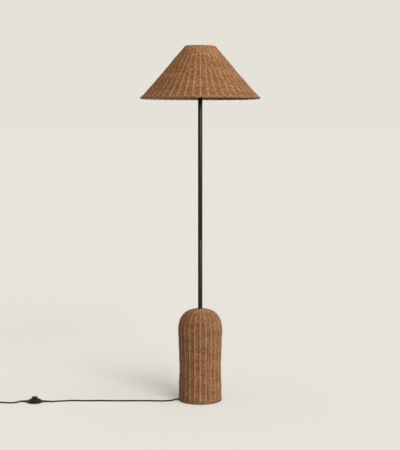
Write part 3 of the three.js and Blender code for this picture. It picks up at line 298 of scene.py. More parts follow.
class Finish(Enum):
    """Every finish on the lamp."""

    CANE = CaneFinish("woven_cane")
    BASE_CANE = CaneFinish(
        "base_cane", (0.500, 0.235, 0.102), (0.625, 0.354, 0.179), (0.180, 0.066, 0.019), (0.218, 0.094, 0.034),
        mottle_scale=110.0, fleck_depth=0.9,
    )
    # A darker copy of the woven cane: painted shade on the shade's rim arches, rim rope and ring bindings.
    SHADED_RIM = CaneFinish(
        "shaded_rim_cane", (0.385, 0.180, 0.076), (0.475, 0.262, 0.130), (0.200, 0.072, 0.019), (0.240, 0.100, 0.033),
    )
    # A darker copy of the woven cane: painted shade on the base's foot border and the shade's top roll.
    SHADED_BORDER = CaneFinish(
        "shaded_border_cane", (0.260, 0.125, 0.052), (0.330, 0.180, 0.085), (0.095, 0.036, 0.012), (0.120, 0.054, 0.020),
    )
    BLACK_PAINT = GrainedFinish(
        "satin_black_paint", (0.0055, 0.0050, 0.0044), (0.20, 0.28), 900.0, 0.02 * MM, mirror=0.28,
    )
    ZINC = GrainedFinish("zinc_plate", (0.52, 0.52, 0.54), (0.26, 0.46), 700.0, 0.02 * MM, 1.0, mottle=0.10)
    IRON = GrainedFinish("cast_iron", (0.055, 0.055, 0.058), (0.55, 0.8), 420.0, 0.35 * MM, 0.5)
    BRASS = GrainedFinish("stamped_brass", (0.60, 0.42, 0.15), (0.22, 0.4), 600.0, 0.02 * MM, 1.0)
    NICKEL = GrainedFinish("nickel_plate", (0.60, 0.57, 0.52), (0.14, 0.28), 600.0, 0.01 * MM, 1.0, mottle=0.06)
    ALUMINIUM = GrainedFinish("rolled_aluminium", (0.66, 0.67, 0.68), (0.24, 0.4), 650.0, 0.02 * MM, 1.0)
    PLASTIC = GrainedFinish("black_moulding", (0.0085, 0.0080, 0.0078), (0.38, 0.52), 1500.0, 0.03 * MM, mirror=0.22)
    RUBBER = GrainedFinish("black_rubber", (0.0110, 0.0104, 0.0100), (0.62, 0.8), 1100.0, 0.04 * MM, mirror=0.2)
    SHEATH = GrainedFinish("lead_sheath", (0.0064, 0.0043, 0.0013), (0.66, 0.84), 800.0, 0.03 * MM, mirror=0.03)
    CERAMIC = GrainedFinish("white_ceramic", (0.72, 0.69, 0.62), (0.5, 0.7), 500.0, 0.05 * MM, mottle=0.05)
    OPAL = GrainedFinish("opal_glass", (0.80, 0.78, 0.73), (0.16, 0.24), 60.0, 0.01 * MM, mottle=0.02, coat=0.5)
    FELT = GrainedFinish("wool_felt", (0.030, 0.028, 0.026), (0.86, 1.0), 900.0, 0.5 * MM, mottle=0.4, sheen=0.4)

    @cache
    def material(self) -> bpy.types.Material:
        """The finish's material, built once."""
        return self.value.make()


# Pieces


def object_from(shape: Shape, name: str) -> Piece:
    """An object of a bmesh, which is freed, with round parts shaded smooth.

    Args:
        shape: The shape.
        name: The object's name.

    Returns:
        The object.
    """
    bmesh.ops.remove_doubles(shape, verts=shape.verts, dist=WELD)
    bmesh.ops.recalc_face_normals(shape, faces=shape.faces)
    mesh = bpy.data.meshes.new(name)
    shape.to_mesh(mesh)
    shape.free()
    mesh.shade_smooth()
    mesh.set_sharp_from_angle(angle=SMOOTH_ANGLE)
    return bpy.data.objects.new(name, mesh)


def turned(profile: Profile, rounding: float = 0.0, sides: int = 64, steps: int = 3, keep: Sequence[int] = ()) -> Shape:
    """A shape turned about Z, with the corners of its profile rounded.

    Args:
        profile: Radius and height of each point, in metres.
        rounding: How far from a corner its rounding starts, at most.
        sides: Sides of the turned shape.
        steps: Points in a rounding, less one.
        keep: Numbers of the corners that stay sharp.

    Returns:
        The shape.
    """
    corners = [Vector(point) for point in profile]
    points = [corners[0]]
    for i, (before, corner, after) in enumerate(zip(corners, corners[1:], corners[2:]), 1):
        reach = min(rounding, (before - corner).length / 2, (after - corner).length / 2)
        if i in keep or reach <= 0:
            points.append(corner)
            continue
        start, end = (corner + (other - corner).normalized() * reach for other in (before, after))
        shares = [k / steps for k in range(steps + 1)]
        points += [start * (1 - t) ** 2 + corner * 2 * t * (1 - t) + end * t ** 2 for t in shares]
    points.append(corners[-1])
    shape = bmesh.new()
    verts = [shape.verts.new((point.x, 0.0, point.y)) for point in points]
    edges = [shape.edges.new(pair) for pair in zip(verts, verts[1:])]
    bmesh.ops.spin(
        shape, geom=verts + edges, cent=(0, 0, 0), axis=(0, 0, 1), dvec=(0, 0, 0), angle=FULL_TURN,
        steps=sides, use_merge=True, use_normal_flip=False, use_duplicate=False,
    )
    bmesh.ops.remove_doubles(shape, verts=shape.verts, dist=WELD)
    bmesh.ops.dissolve_degenerate(shape, edges=shape.edges, dist=SLIVER)
    return shape


def tube(bore: float, radius: float, low: float, high: float, rounding: float, sides: int = 64) -> Shape:
    """A turned tube with rounded ends."""
    profile = [(bore, low), (radius, low), (radius, high), (bore, high), (bore, low)]
    return turned(profile, rounding, sides)


def ribbed(low: float, high: float, widths: Sequence[float], depth: float,
           steps: Sequence[tuple[int, float]] = ((1, 0.2), (1, 0.4), (0, 0.6), (0, 1.0))) -> Profile:
    """The profile of a row of ribs.

    Args:
        low: Where the first starts.
        high: Where the last ends.
        widths: Each one's radius.
        depth: How deep its groove is.
        steps: Its points, each 1 in the groove or 0 on the rib, with the share of its length.

    Returns:
        Their points.
    """
    each = (high - low) / len(widths)
    return [(width - depth * sunk, low + (i + share) * each) for i, width in enumerate(widths) for sunk, share in steps]


def laid(shape: Shape, axis: Axis, at: Point) -> Shape:
    """Lays a shape made about +Z along an axis and moves it to a place.

    Args:
        shape: The shape.
        axis: The direction that it is laid along.
        at: The place.

    Returns:
        The same shape.
    """
    angle, about = axis.value
    bmesh.ops.transform(shape, matrix=Matrix.Translation(at) @ Matrix.Rotation(angle, 4, about), verts=shape.verts)
    return shape


@dataclass
class Strand:
    """One length of round cane or wire."""

    points: np.ndarray
    radius: float
    tone: float = 0.5
    closed: bool = False


def around(radius: Values, angle: Values, height: Values) -> np.ndarray:
    """Points at a radius, an angle and a height."""
    return np.stack(np.broadcast_arrays(radius * np.cos(angle), radius * np.sin(angle), height), -1)


def bundle(name: str, strands: Sequence[Strand], ring: int, proud_of: Proudness | None) -> Piece:
    """Round strands as one object, with their tones and their proudness as attributes.

    Args:
        name: The object's name.
        strands: The strands, each a tube along its points.
        ring: Sides of a tube: 4, and 2 more for each.
        proud_of: Gives how proud points stand in a weave, from 0 to 1, which sets their painted shade.

    Returns:
        The object.
    """
    curve = bpy.data.curves.new(name, "CURVE")
    curve.dimensions, curve.twist_mode = "3D", "Z_UP"
    curve.bevel_depth, curve.bevel_resolution, curve.use_fill_caps = 1.0, ring, True
    for strand in strands:
        spline = curve.splines.new("POLY")
        count = len(strand.points)
        spline.points.add(count - 1)
        spline.points.foreach_set("co", np.c_[strand.points, np.ones(count)].ravel())
        spline.points.foreach_set("radius", np.full(count, strand.radius))
        spline.use_cyclic_u = strand.closed
    holder = bpy.data.objects.new(name, curve)
    bpy.context.scene.collection.objects.link(holder)
    mesh = bpy.data.meshes.new_from_object(holder.evaluated_get(bpy.context.evaluated_depsgraph_get()))
    bpy.data.objects.remove(holder)
    bpy.data.curves.remove(curve)
    mesh.name = name
    sides = 4 + 2 * ring
    counts = [len(s.points) * sides + (0 if s.closed else 2 * sides) for s in strands]
    place = np.empty(len(mesh.vertices) * 3, np.float32)
    mesh.vertices.foreach_get("co", place)
    proud = proud_of(place.reshape(-1, 3)) if proud_of else np.ones(len(mesh.vertices))
    for label, values in (("tone", np.repeat([s.tone for s in strands], counts)), ("proud", proud)):
        mesh.attributes.new(label, "FLOAT", "POINT").data.foreach_set("value", values.astype(np.float32))
    return bpy.data.objects.new(name, mesh)


@dataclass(frozen=True)
class Place:
    """Where pieces belong: their body, their slot in the record and their finish."""

    body: str
    slot: str
    finish: Finish

    def take(self, piece: Piece, *nodes: str) -> Piece:
        """Dresses a finished piece, links it into the scene and parents it to its body's empty.

        Args:
            piece: The piece.
            nodes: The CAD nodes that it stands for.

        Returns:
            The same piece.
        """
        bpy.context.scene.collection.objects.link(piece)
        piece.data.materials.append(self.finish.material())
        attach(piece, self.body)
        if nodes:
            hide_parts(*nodes)
        LOG.info("%s rides on %s", piece.name, self.body)
        return piece

    def solid(self, name: str, shape: Shape, *nodes: str) -> Piece:
        """Makes and takes a piece of a bmesh."""
        return self.take(object_from(shape, name), *nodes)

    def tubes(self, name: str, strands: Sequence[Strand], *nodes: str, ring: int = 1,
              proud_of: Proudness | None = None) -> Piece:
        """Makes and takes a piece of strands."""
        return self.take(bundle(name, strands, ring, proud_of), *nodes)


MOULDING = Place("stand", "black_plastic", Finish.PLASTIC)
RUBBER = Place("stand", "black_rubber", Finish.RUBBER)
SHADE_PAINT = Place("shade", "black_paint", Finish.BLACK_PAINT)
SHADE_RIM = Place("shade", "rattan_border", Finish.SHADED_RIM)


# Weave


@dataclass
class Outline:
    """A turned surface's outline, measured along its own length from its foot."""

    profile: Profile
    rounds: int = 3
    corner_share: float = 0.25

    def __post_init__(self) -> None:
        """Cuts the outline's corners and measures it."""
        points = np.array(self.profile, float)
        for _ in range(self.rounds):
            inner = [points[:-1] * a + points[1:] * (1 - a) for a in (1 - self.corner_share, self.corner_share)]
            points = np.vstack([points[:1], np.stack(inner, 1).reshape(-1, 2), points[-1:]])
        self.points = points
        self.reach = np.r_[0, np.cumsum(np.hypot(*np.diff(points, axis=0).T))]
        way = np.gradient(points, self.reach, axis=0)
        way /= np.hypot(*way.T)[:, None]
        self.outwards = np.c_[way[:, 1], -way[:, 0]]
        self.length = float(self.reach[-1])

    def at(self, reach: Values, proud: Values) -> tuple[np.ndarray, np.ndarray]:
        """Radius and height at a distance along the outline.

        Args:
            reach: Distance from the foot.
            proud: Distance out of the outline.

        Returns:
            The radii and the heights.
        """
        return tuple(np.interp(reach, self.reach, self.points[:, i])
                     + np.interp(reach, self.reach, self.outwards[:, i]) * proud for i in (0, 1))

    def distance_out(self, place: np.ndarray) -> np.ndarray:
        """How far points lie outside the outline, less than 0 inside it.

        Args:
            place: The points.

        Returns:
            The distances.
        """
        radius, height = np.hypot(place[:, 0], place[:, 1]), place[:, 2]
        best, signed = np.full(len(place), np.inf), np.zeros(len(place))
        for point, out in zip(self.points, self.outwards):
            gap_r, gap_z = radius - point[0], height - point[1]
            gap = gap_r ** 2 + gap_z ** 2
            closer = gap < best
            best = np.where(closer, gap, best)
            signed = np.where(closer, gap_r * out[0] + gap_z * out[1], signed)
        return signed


@dataclass(frozen=True)
class Stake:
    """One upright of a weave: its angle at each distance along the outline, and how it is made."""

    reaches: tuple[float, ...]
    angles: tuple[float, ...]
    main: bool
    tone: float
    relief: float = 1.0
    sway: float = 0.0
    phase: float = 0.0
    waves: Span = (52.0, 127.0)
    fine_share: float = 0.6

    @classmethod
    def by_hand(cls, reaches: Sequence[float], angles: Sequence[float], main: bool, sway: float,
                rng: np.random.Generator) -> "Stake":
        """A stake with a tone, a relief and a phase of its own."""
        tone, relief, phase = (rng.uniform(*span) for span in ((0.75, 1.0), (0.86, 1.08), (0, FULL_TURN)))
        return cls(tuple(reaches), tuple(angles), main, tone, relief, sway, phase)

    def angle(self, reach: Values) -> Values:
        """Its angle, with a slight sway of hand work.

        Args:
            reach: The distance along the outline.

        Returns:
            The angle.
        """
        slow, fast = (np.multiply(reach, wave) for wave in self.waves)
        swing = np.sin(slow + self.phase) + self.fine_share * np.sin(fast + self.phase * 3)
        return np.interp(reach, self.reaches, self.angles) + self.sway * swing

    def stands_at(self, reach: float) -> bool:
        """Whether it reaches a distance along the outline."""
        return self.reaches[0] <= reach <= self.reaches[-1]


@dataclass
class Weave:
    """Plain weave of round cane over stakes: each row passes over one stake and under the next."""

    name: str
    outline: Outline
    stakes: list[Stake]
    seed: int
    pitch: float = 2.1 * MM
    stray_share: float = 0.1
    weaver_radius: float = 1.42 * MM
    weaver_spread: Span = (0.94, 1.06)
    weaver_tones: Span = (0.05, 0.7)
    main_rod: float = 1.3 * MM
    main_gap: float = 6.0 * MM
    side_rod: float = 1.1 * MM
    side_sink: float = 1.1 * MM
    bite: float = 0.82
    tightest_share: float = 0.34
    slope: float = 2.0 * MM
    slope_share: float = 0.45
    flank_share: float = 0.25
    wander: float = 0.16 * MM
    wander_waves: tuple[int, ...] = (2, 3, 5, 6)
    unevenness: float = 0.28 * MM
    bulges: tuple[Point, ...] = ((3, 74, 1.0), (2, -121, 0.7))
    rod_step: float = 7 * MM
    hollow_shade_power: float = 1.5

    def _uneven(self, reach: Values, angle: np.ndarray) -> np.ndarray:
        """How far hand work has pushed the wall out or in at a place."""
        return sum(share * np.sin(angle * turns + np.multiply(reach, rate) + self.seed * (i + 1))
                   for i, (turns, rate, share) in enumerate(self.bulges)) * self.unevenness

    def _rod(self, stake: Stake) -> float:
        """The radius of a stake's rods."""
        return self.main_rod if stake.main else self.side_rod

    def _sink(self, stake: Stake) -> float:
        """How deep a stake lies under the weave's middle."""
        return 0.0 if stake.main else self.side_sink

    def _lift(self, stake: Stake) -> float:
        """How far a row is pushed off a stake's middle."""
        return (self._rod(stake) + self.weaver_radius) * self.bite * stake.relief

    def _half_gap(self, stake: Stake, radius: float, count: int) -> float:
        """Half the distance between a stake's outer rods."""
        widest = self.tightest_share * FULL_TURN * radius / max(count, 1)
        return min(self.main_gap, widest) / 2 if stake.main else self.side_rod / 2

    def row(self, number: int, reach: float, rng: np.random.Generator) -> Strand:
        """One row of the weave.

        Args:
            number: The row's number.
            reach: Its distance along the outline.
            rng: Source of its small wanderings.

        Returns:
            The row as a closed strand.
        """
        standing = sorted((s for s in self.stakes if s.stands_at(reach)), key=lambda s: s.angle(reach))
        radius, count = float(self.outline.at(reach, 0.0)[0]), len(standing)
        angles, prouds = [], []
        for i, stake in enumerate(standing):
            after = standing[(i + 1) % count]
            side = 1 if (i + number) % 2 else -1
            here = stake.angle(reach)
            there = after.angle(reach) + (FULL_TURN if i + 1 == count else 0)
            half, next_half = (self._half_gap(s, radius, count) / radius for s in (stake, after))
            level = side * self._lift(stake) - self._sink(stake)
            next_level = -side * self._lift(after) - self._sink(after)
            near, far = here + half, there - next_half
            slope = min(self.slope / radius, (far - near) * self.slope_share)
            middle, rise = (level + next_level) / 2, (level - next_level) / 2 * self.flank_share
            angles += [here - half, near, near + slope, far - slope]
            prouds += [level, level, middle + rise, middle - rise]
        angle, proud = np.array(angles), np.array(prouds)
        phases = rng.uniform(0, FULL_TURN, len(self.wander_waves))
        waves = [np.sin(angle * wave + phase) * self.wander for wave, phase in zip(self.wander_waves, phases)]
        proud += waves[2] + waves[3] + self._uneven(reach, angle)
        radii, heights = self.outline.at(reach + waves[0] + waves[1], proud)
        thickness, tone = (rng.uniform(*span) for span in (self.weaver_spread, self.weaver_tones))
        return Strand(around(radii, angle, heights), self.weaver_radius * thickness, tone, True)

    def rows(self, low: float, high: float) -> list[Strand]:
        """The rows between two distances along the outline.

        Args:
            low: The first distance.
            high: The second distance.

        Returns:
            The rows.
        """
        strands = []
        for number in range(math.ceil(low / self.pitch), math.ceil(high / self.pitch)):
            rng = np.random.default_rng((self.seed, number))
            stray = rng.uniform(-self.stray_share, self.stray_share)
            reach = (number + 0.5 + stray) * self.pitch
            if reach < self.outline.length:
                strands.append(self.row(number, reach, rng))
        return strands

    def rods(self) -> list[Strand]:
        """The stakes' rods: three side by side on a main stake, one on a side stake.

        Returns:
            The rods.
        """
        strands = []
        for stake in self.stakes:
            count = max(math.ceil((stake.reaches[-1] - stake.reaches[0]) / self.rod_step), 2)
            reach = np.linspace(stake.reaches[0], stake.reaches[-1], count + 1)
            radii, heights = self.outline.at(reach, self._uneven(reach, stake.angle(reach)) - self._sink(stake))
            standing = [sum(s.stands_at(r) for s in self.stakes) for r in reach]
            half = np.array([self._half_gap(stake, r, n) for r, n in zip(radii, standing)]) / radii
            for side in ((-1, 0, 1) if stake.main else (0,)):
                points = around(radii, stake.angle(reach) + side * half, heights)
                strands.append(Strand(points, self._rod(stake), stake.tone))
        return strands

    def proud_of(self, place: np.ndarray) -> np.ndarray:
        """How proud points stand, from 0 in the middle of the weave to 1 on its crests; the less proud, the more
        painted shade.
        """
        crest = self._lift(self.stakes[0]) + self.weaver_radius
        return np.clip(np.abs(self.outline.distance_out(place)) / crest, 0, 1) ** self.hollow_shade_power

    def build(self, shares: Sequence[float], place: Place, node: str) -> None:
        """Makes the rows in pieces, and the rods.

        Args:
            shares: Shares of the outline between which the rows make one piece each.
            place: Where the pieces belong.
            node: The CAD node that they stand for.
        """
        cuts = [share * self.outline.length for share in shares]
        for i, (low, high) in enumerate(zip(cuts, cuts[1:])):
            nodes = () if i else (node,)
            place.tubes(f"{self.name}_rows_{i + 1}", self.rows(low, high), *nodes, proud_of=self.proud_of)
        place.tubes(f"{self.name}_stakes", self.rods(), proud_of=self.proud_of)


@dataclass(frozen=True)
class RopeBorder:
    """A border of rods that wind round a ring, like a laid rope."""

    name: str
    place: Place
    nodes: tuple[str, ...]
    ring_radius: float
    height: float
    half_width: float
    half_height: float
    rod_radius: float
    phases: tuple[float, ...]
    turns: int
    opening: float = 0.0
    seed: int = 3
    samples: int = 14
    swell_share: float = 0.07
    swells: int = 5
    core_share: float = 0.55
    tones: Span = (0.2, 0.8)

    def build(self) -> None:
        """Makes the border."""
        rng = np.random.default_rng(self.seed)
        strands = []
        along = np.linspace(0, 1, self.turns * self.samples, endpoint=self.opening > 0)
        angle = math.pi + self.opening / 2 + (FULL_TURN - self.opening) * along
        for phase in self.phases:
            wind = self.turns * angle + phase * FULL_TURN
            swell = 1 + self.swell_share * np.sin(angle * self.swells + rng.uniform(0, FULL_TURN))
            radius = self.ring_radius + self.half_width * swell * np.cos(wind)
            points = around(radius, angle, self.height + self.half_height * swell * np.sin(wind))
            strands.append(Strand(points, self.rod_radius, rng.uniform(*self.tones), self.opening == 0))
        self.place.tubes(self.name, strands, *self.nodes, proud_of=self._proud_of)

    def _proud_of(self, place: np.ndarray) -> np.ndarray:
        """How far points stand from the ring's middle; nearer the middle, the more painted shade.

        Args:
            place: The points.

        Returns:
            The distances, from 0 to 1.
        """
        across = (np.hypot(place[:, 0], place[:, 1]) - self.ring_radius) / (self.half_width + self.rod_radius)
        up = (place[:, 2] - self.height) / (self.half_height + self.rod_radius)
        return np.clip((np.hypot(across, up) - self.core_share) / (1 - self.core_share), 0, 1)


@dataclass(frozen=True)
class ArchBorder:
    """A scalloped border: each stake's canes bend down in an arch and run in again two stakes further on."""

    name: str
    place: Place
    nodes: tuple[str, ...]
    radius: float
    top: float
    bottom: float
    rod_radius: float
    count: int
    pass_by: float = 1.7 * MM
    seed: int = 29
    samples: int = 13
    arch_power: float = 0.75
    least_proud: float = 0.2
    cane_step: float = 1.85
    reach_share: float = 2.2
    depths: Span = (0.93, 1.03)
    stray_share: float = 0.05
    tones: Span = (0.2, 0.9)
    thicknesses: Span = (0.94, 1.04)

    def build(self) -> None:
        """Makes the border."""
        rng = np.random.default_rng(self.seed)
        strands = []
        step = FULL_TURN / self.count
        along = np.linspace(0, 1, self.samples)
        radius = self.radius + self.pass_by * np.cos(math.pi * along)
        for number in range(self.count):
            depth = (self.top - self.bottom - self.rod_radius) * rng.uniform(*self.depths)
            start = step * (number + rng.uniform(-self.stray_share, self.stray_share))
            tone = rng.uniform(*self.tones)
            arch = depth * np.sin(math.pi * along) ** self.arch_power
            for cane in (0, 1):
                drop = np.maximum(arch - cane * self.cane_step * self.rod_radius, 0)
                points = around(radius, start + along * 2 * step, self.top - drop)
                strands.append(Strand(points, self.rod_radius * rng.uniform(*self.thicknesses), tone))
        self.place.tubes(self.name, strands, *self.nodes, proud_of=self._proud_of)

    def _proud_of(self, place: np.ndarray) -> np.ndarray:
        """How far points stand out of or into the border's middle, up to 1; nearer the middle, the more painted shade.
        """
        across = np.abs(np.hypot(place[:, 0], place[:, 1]) - self.radius)
        return np.clip(across / (self.reach_share * self.rod_radius), self.least_proud, 1)


# Lead, foot switch and plug


@dataclass
class LampLead:
    """The free lead: base to foot switch, then to the coil of spare lead and the plug. Routes are millimetres."""

    diameter: float = 6 * MM
    smoothness: int = 4
    to_switch: tuple[Point, ...] = (
        (-95.3, 0, 4.4), (-99, 0, 4.4), (-104, -2.2, 4.1), (-111, -8, 3.4), (-121, -17, 3.1), (-134, -24, 3.1),
        (-150, -27.5, 3.1), (-170, -28, 3.1), (-190, -26, 3.1), (-225, -24.5, 3.1), (-263, -24.5, 3.1),
        (-300, -25, 3.1), (-338, -26, 3.1), (-378, -24.5, 3.1), (-415, -22.5, 3.1), (-446, -22.5, 3.1),
        (-478, -25, 3.1), (-506, -23.5, 3.1), (-530, -20.5, 3.1), (-552, -22, 3.1), (-578, -27.5, 3.1),
        (-604, -32.5, 3.1), (-622, -37.3, 3.1), (-632, -40.8, 3.9), (-640.5, -43, 5.1), (-645.7, -43, 5.2),
    )
    to_coil: tuple[Point, ...] = (
        (-756.3, -43, 5.2), (-760.5, -43, 5.2), (-766, -45.2, 4.7), (-773, -50.8, 3.6), (-782, -57.8, 3.1),
        (-792, -61.8, 3.1), (-803, -62.7, 3.1), (-814, -61.4, 3.1), (-826, -58.4, 3.1), (-838, -54.5, 3.1),
        (-852, -49.8, 3.1), (-866, -46.8, 3.1), (-878, -46, 3.1),
    )
    to_plug: tuple[Point, ...] = (
        (-934.1, -94, 9.7), (-934.1, -100, 9), (-934.1, -107, 6.8), (-934, -114, 4.5), (-934, -121, 3.3),
        (-934, -129, 3.1), (-934, -137, 3.4), (-934, -146, 4.4), (-934, -154, 5.8), (-934, -161, 6.8),
        (-934, -165.5, 7), (-934, -168.7, 7),
    )
    coil_middle: Point = (-895, -83.5, 3.1)
    coil_inner_radius: float = 17.7
    coil_pitch: float = 6.6
    coil_turns_in: float = 3
    coil_turns_out: float = 3.25
    coil_start_turn: float = 0.25
    coil_climb_turns: float = 0.5
    coil_steps: int = 24
    switch_length: float = 0.562
    plug_length: float = 1.335

    def coil(self) -> np.ndarray:
        """The coil's middle line: in on the floor, then back out above.

        Returns:
            Its points in millimetres.
        """
        turn = np.arange(round((self.coil_turns_in + self.coil_turns_out) * self.coil_steps) + 1) / self.coil_steps
        radius = self.coil_inner_radius + self.coil_pitch * np.abs(turn - self.coil_turns_in)
        climb = self.coil_pitch * np.clip((turn - self.coil_turns_in) / self.coil_climb_turns + 0.5, 0, 1)
        return around(radius, FULL_TURN * (self.coil_start_turn + turn), climb) + self.coil_middle

    def _cord(self, name: str, route: Sequence[Point], *nodes: str) -> Piece:
        """A cord along a route in millimetres.

        Args:
            name: The cord's name.
            route: Its points.
            nodes: The CAD nodes that it stands for.

        Returns:
            The cord.
        """
        curve = bpy.data.curves.new(name, "CURVE")
        curve.dimensions, curve.bevel_depth, curve.use_fill_caps = "3D", self.diameter / 2, True
        curve.bevel_resolution = curve.resolution_u = self.smoothness
        spline = curve.splines.new("BEZIER")
        spline.bezier_points.add(len(route) - 1)
        for knot, place in zip(spline.bezier_points, route):
            knot.co = Vector(place) * MM
            knot.handle_left_type = knot.handle_right_type = "AUTO"
        return Place("stand", "lead_sheath", Finish.SHEATH).take(bpy.data.objects.new(name, curve), *nodes)

    def build(self) -> tuple[Piece, Piece]:
        """Makes the two cords.

        Returns:
            The cord to the switch and the cord to the plug.
        """
        route = [*self.to_coil, *self.coil(), *self.to_plug]
        return (self._cord("lead_to_switch", self.to_switch, "cord_base_to_switch"),
                self._cord("lead_to_plug", route, "cord_switch_to_coil", "cord_coil", "cord_coil_to_plug"))


@dataclass
class FootSwitch:
    """The round foot switch: base, domed cover, button, spring and the two sleeves on its lead."""

    middle: tuple[float, float] = (-701 * MM, -43 * MM)
    split: float = 5.2 * MM
    edge: float = 0.6 * MM
    gap: float = 0.3 * MM
    lip: float = 0.5 * MM
    radius: float = 35 * MM
    foot_radius: float = 31 * MM
    base_rounding: float = 0.8 * MM
    wall: float = 2 * MM
    floor: float = 2 * MM
    dome_height: float = 17.5 * MM
    dome_steps: int = 14
    cover_sides: int = 72
    mouth: float = 10.3 * MM
    neck_radius: float = 10 * MM
    button_radius: float = 12.8 * MM
    button_height: float = 3.8 * MM
    button_rounding: float = 1.1 * MM
    dish: float = 0.5 * MM
    dish_shares: Span = (0.72, 0.3)
    travel: float = 3 * MM
    flange_radius: float = 11.5 * MM
    flange_height: float = 1.5 * MM
    stem_radius: float = 2.5 * MM
    stem_bottom: float = 9.6 * MM
    sleeve_length: float = 20 * MM
    sleeve_inside: float = 2 * MM
    sleeve_end: float = 2 * MM
    sleeve_radius: float = 4.2 * MM
    sleeve_tip: float = 3.4 * MM
    sleeve_ribs: int = 5
    sleeve_rounding: float = 0.3 * MM
    sleeve_sides: int = 32
    rib_depth: float = 0.35 * MM
    spring_radius: float = 5.6 * MM
    spring_wire: float = 0.4 * MM
    spring_turns: float = 4.5
    spring_rest_turns: float = 0.6
    spring_points: int = 109

    def base(self) -> Shape:
        """The lower housing.

        Returns:
            Its shape.
        """
        return turned([
            (0, 0), (self.foot_radius, 0), (self.radius, self.split - self.edge), (self.radius, self.split),
            (self.radius - self.wall, self.split), (self.foot_radius - self.wall, self.floor), (0, self.floor),
        ], self.base_rounding)

    def cover(self) -> Shape:
        """The domed upper housing.

        Returns:
            Its shape.
        """
        bottom, inside = self.split + self.gap, self.radius - self.wall
        shares = [i / self.dome_steps for i in range(self.dome_steps + 1)]
        outer, inner = (
            [(wide + (self.mouth - wide) * s, bottom + (top - bottom) * math.sin(math.pi / 2 * s)) for s in shares]
            for wide, top in ((self.radius, self.dome_height), (inside, self.dome_height - self.wall))
        )
        edge = [(inside, bottom), (self.radius - self.lip, bottom), (self.radius, bottom + self.lip)]
        return turned([*edge, *outer[1:], *reversed(inner)], sides=self.cover_sides)

    def button(self) -> Shape:
        """The button, with its neck, flange and stem.

        Returns:
            Its shape.
        """
        under = self.dome_height - self.wall - self.gap
        low = self.dome_height + self.travel + self.gap
        high = low + self.button_height
        flat, hollow = (self.button_radius * share for share in self.dish_shares)
        return turned([
            (0, self.stem_bottom), (self.stem_radius, self.stem_bottom), (self.stem_radius, under - self.flange_height),
            (self.flange_radius, under - self.flange_height), (self.flange_radius, under), (self.neck_radius, under),
            (self.neck_radius, low), (self.button_radius, low + self.button_height / 3), (self.button_radius, high),
            (flat, high), (hollow, high - self.dish), (0, high - self.dish),
        ], self.button_rounding)

    def sleeve(self) -> Shape:
        """A tapered, ribbed sleeve on the lead.

        Returns:
            Its shape.
        """
        start, root = self.radius - self.sleeve_inside, self.radius + self.sleeve_end
        tip = self.radius + self.sleeve_length
        widths = np.linspace(self.sleeve_radius, self.sleeve_tip, self.sleeve_ribs + 2)[1:-1]
        return turned([
            (0, start), (self.sleeve_radius, start), (self.sleeve_radius, root),
            *ribbed(root, tip - self.sleeve_end, widths, self.rib_depth), (self.sleeve_tip, tip), (0, tip),
        ], self.sleeve_rounding, self.sleeve_sides, 2)

    def spring(self) -> Piece:
        """The coil spring on the terminal block under the button, made at its rest length.

        Returns:
            The piece.
        """
        low, high = (corner[2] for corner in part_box("switch_spring"))
        turns = np.linspace(0, self.spring_turns, self.spring_points)
        climb = np.clip((turns - self.spring_rest_turns) / (self.spring_turns - 2 * self.spring_rest_turns), 0, 1)
        height = low + self.spring_wire + (high - low - 2 * self.spring_wire) * climb
        wire = Strand(around(self.spring_radius, turns * FULL_TURN, height) + (*self.middle, 0), self.spring_wire)
        piece = Place("stand", "zinc_steel", Finish.ZINC).tubes("switch_coil_spring", [wire], "switch_spring", ring=2)
        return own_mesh(piece)

    def build(self) -> list[Piece | str]:
        """Makes the switch.

        Returns:
            Its pieces and the names of CAD nodes that stay among them.
        """
        button = Place("switch_button", "black_plastic", Finish.PLASTIC)
        pieces = ["switch_terminal_block", "switch_cover_screw_1", "switch_cover_screw_2", self.spring()]
        for place, name, node, shape, axis, height in (
            (MOULDING, "switch_housing_base", "switch_base", self.base(), Axis.UP, 0),
            (MOULDING, "switch_housing_cover", "switch_cover", self.cover(), Axis.UP, 0),
            (button, "switch_push_button", "switch_button", self.button(), Axis.UP, 0),
            (RUBBER, "switch_sleeve_to_lamp", "switch_sleeve_lamp_side", self.sleeve(), Axis.TO_PLUS_X, self.split),
            (RUBBER, "switch_sleeve_to_plug", "switch_sleeve_plug_side", self.sleeve(), Axis.TO_MINUS_X, self.split),
        ):
            pieces.append(place.solid(name, laid(shape, axis, (*self.middle, height)), node))
        return pieces


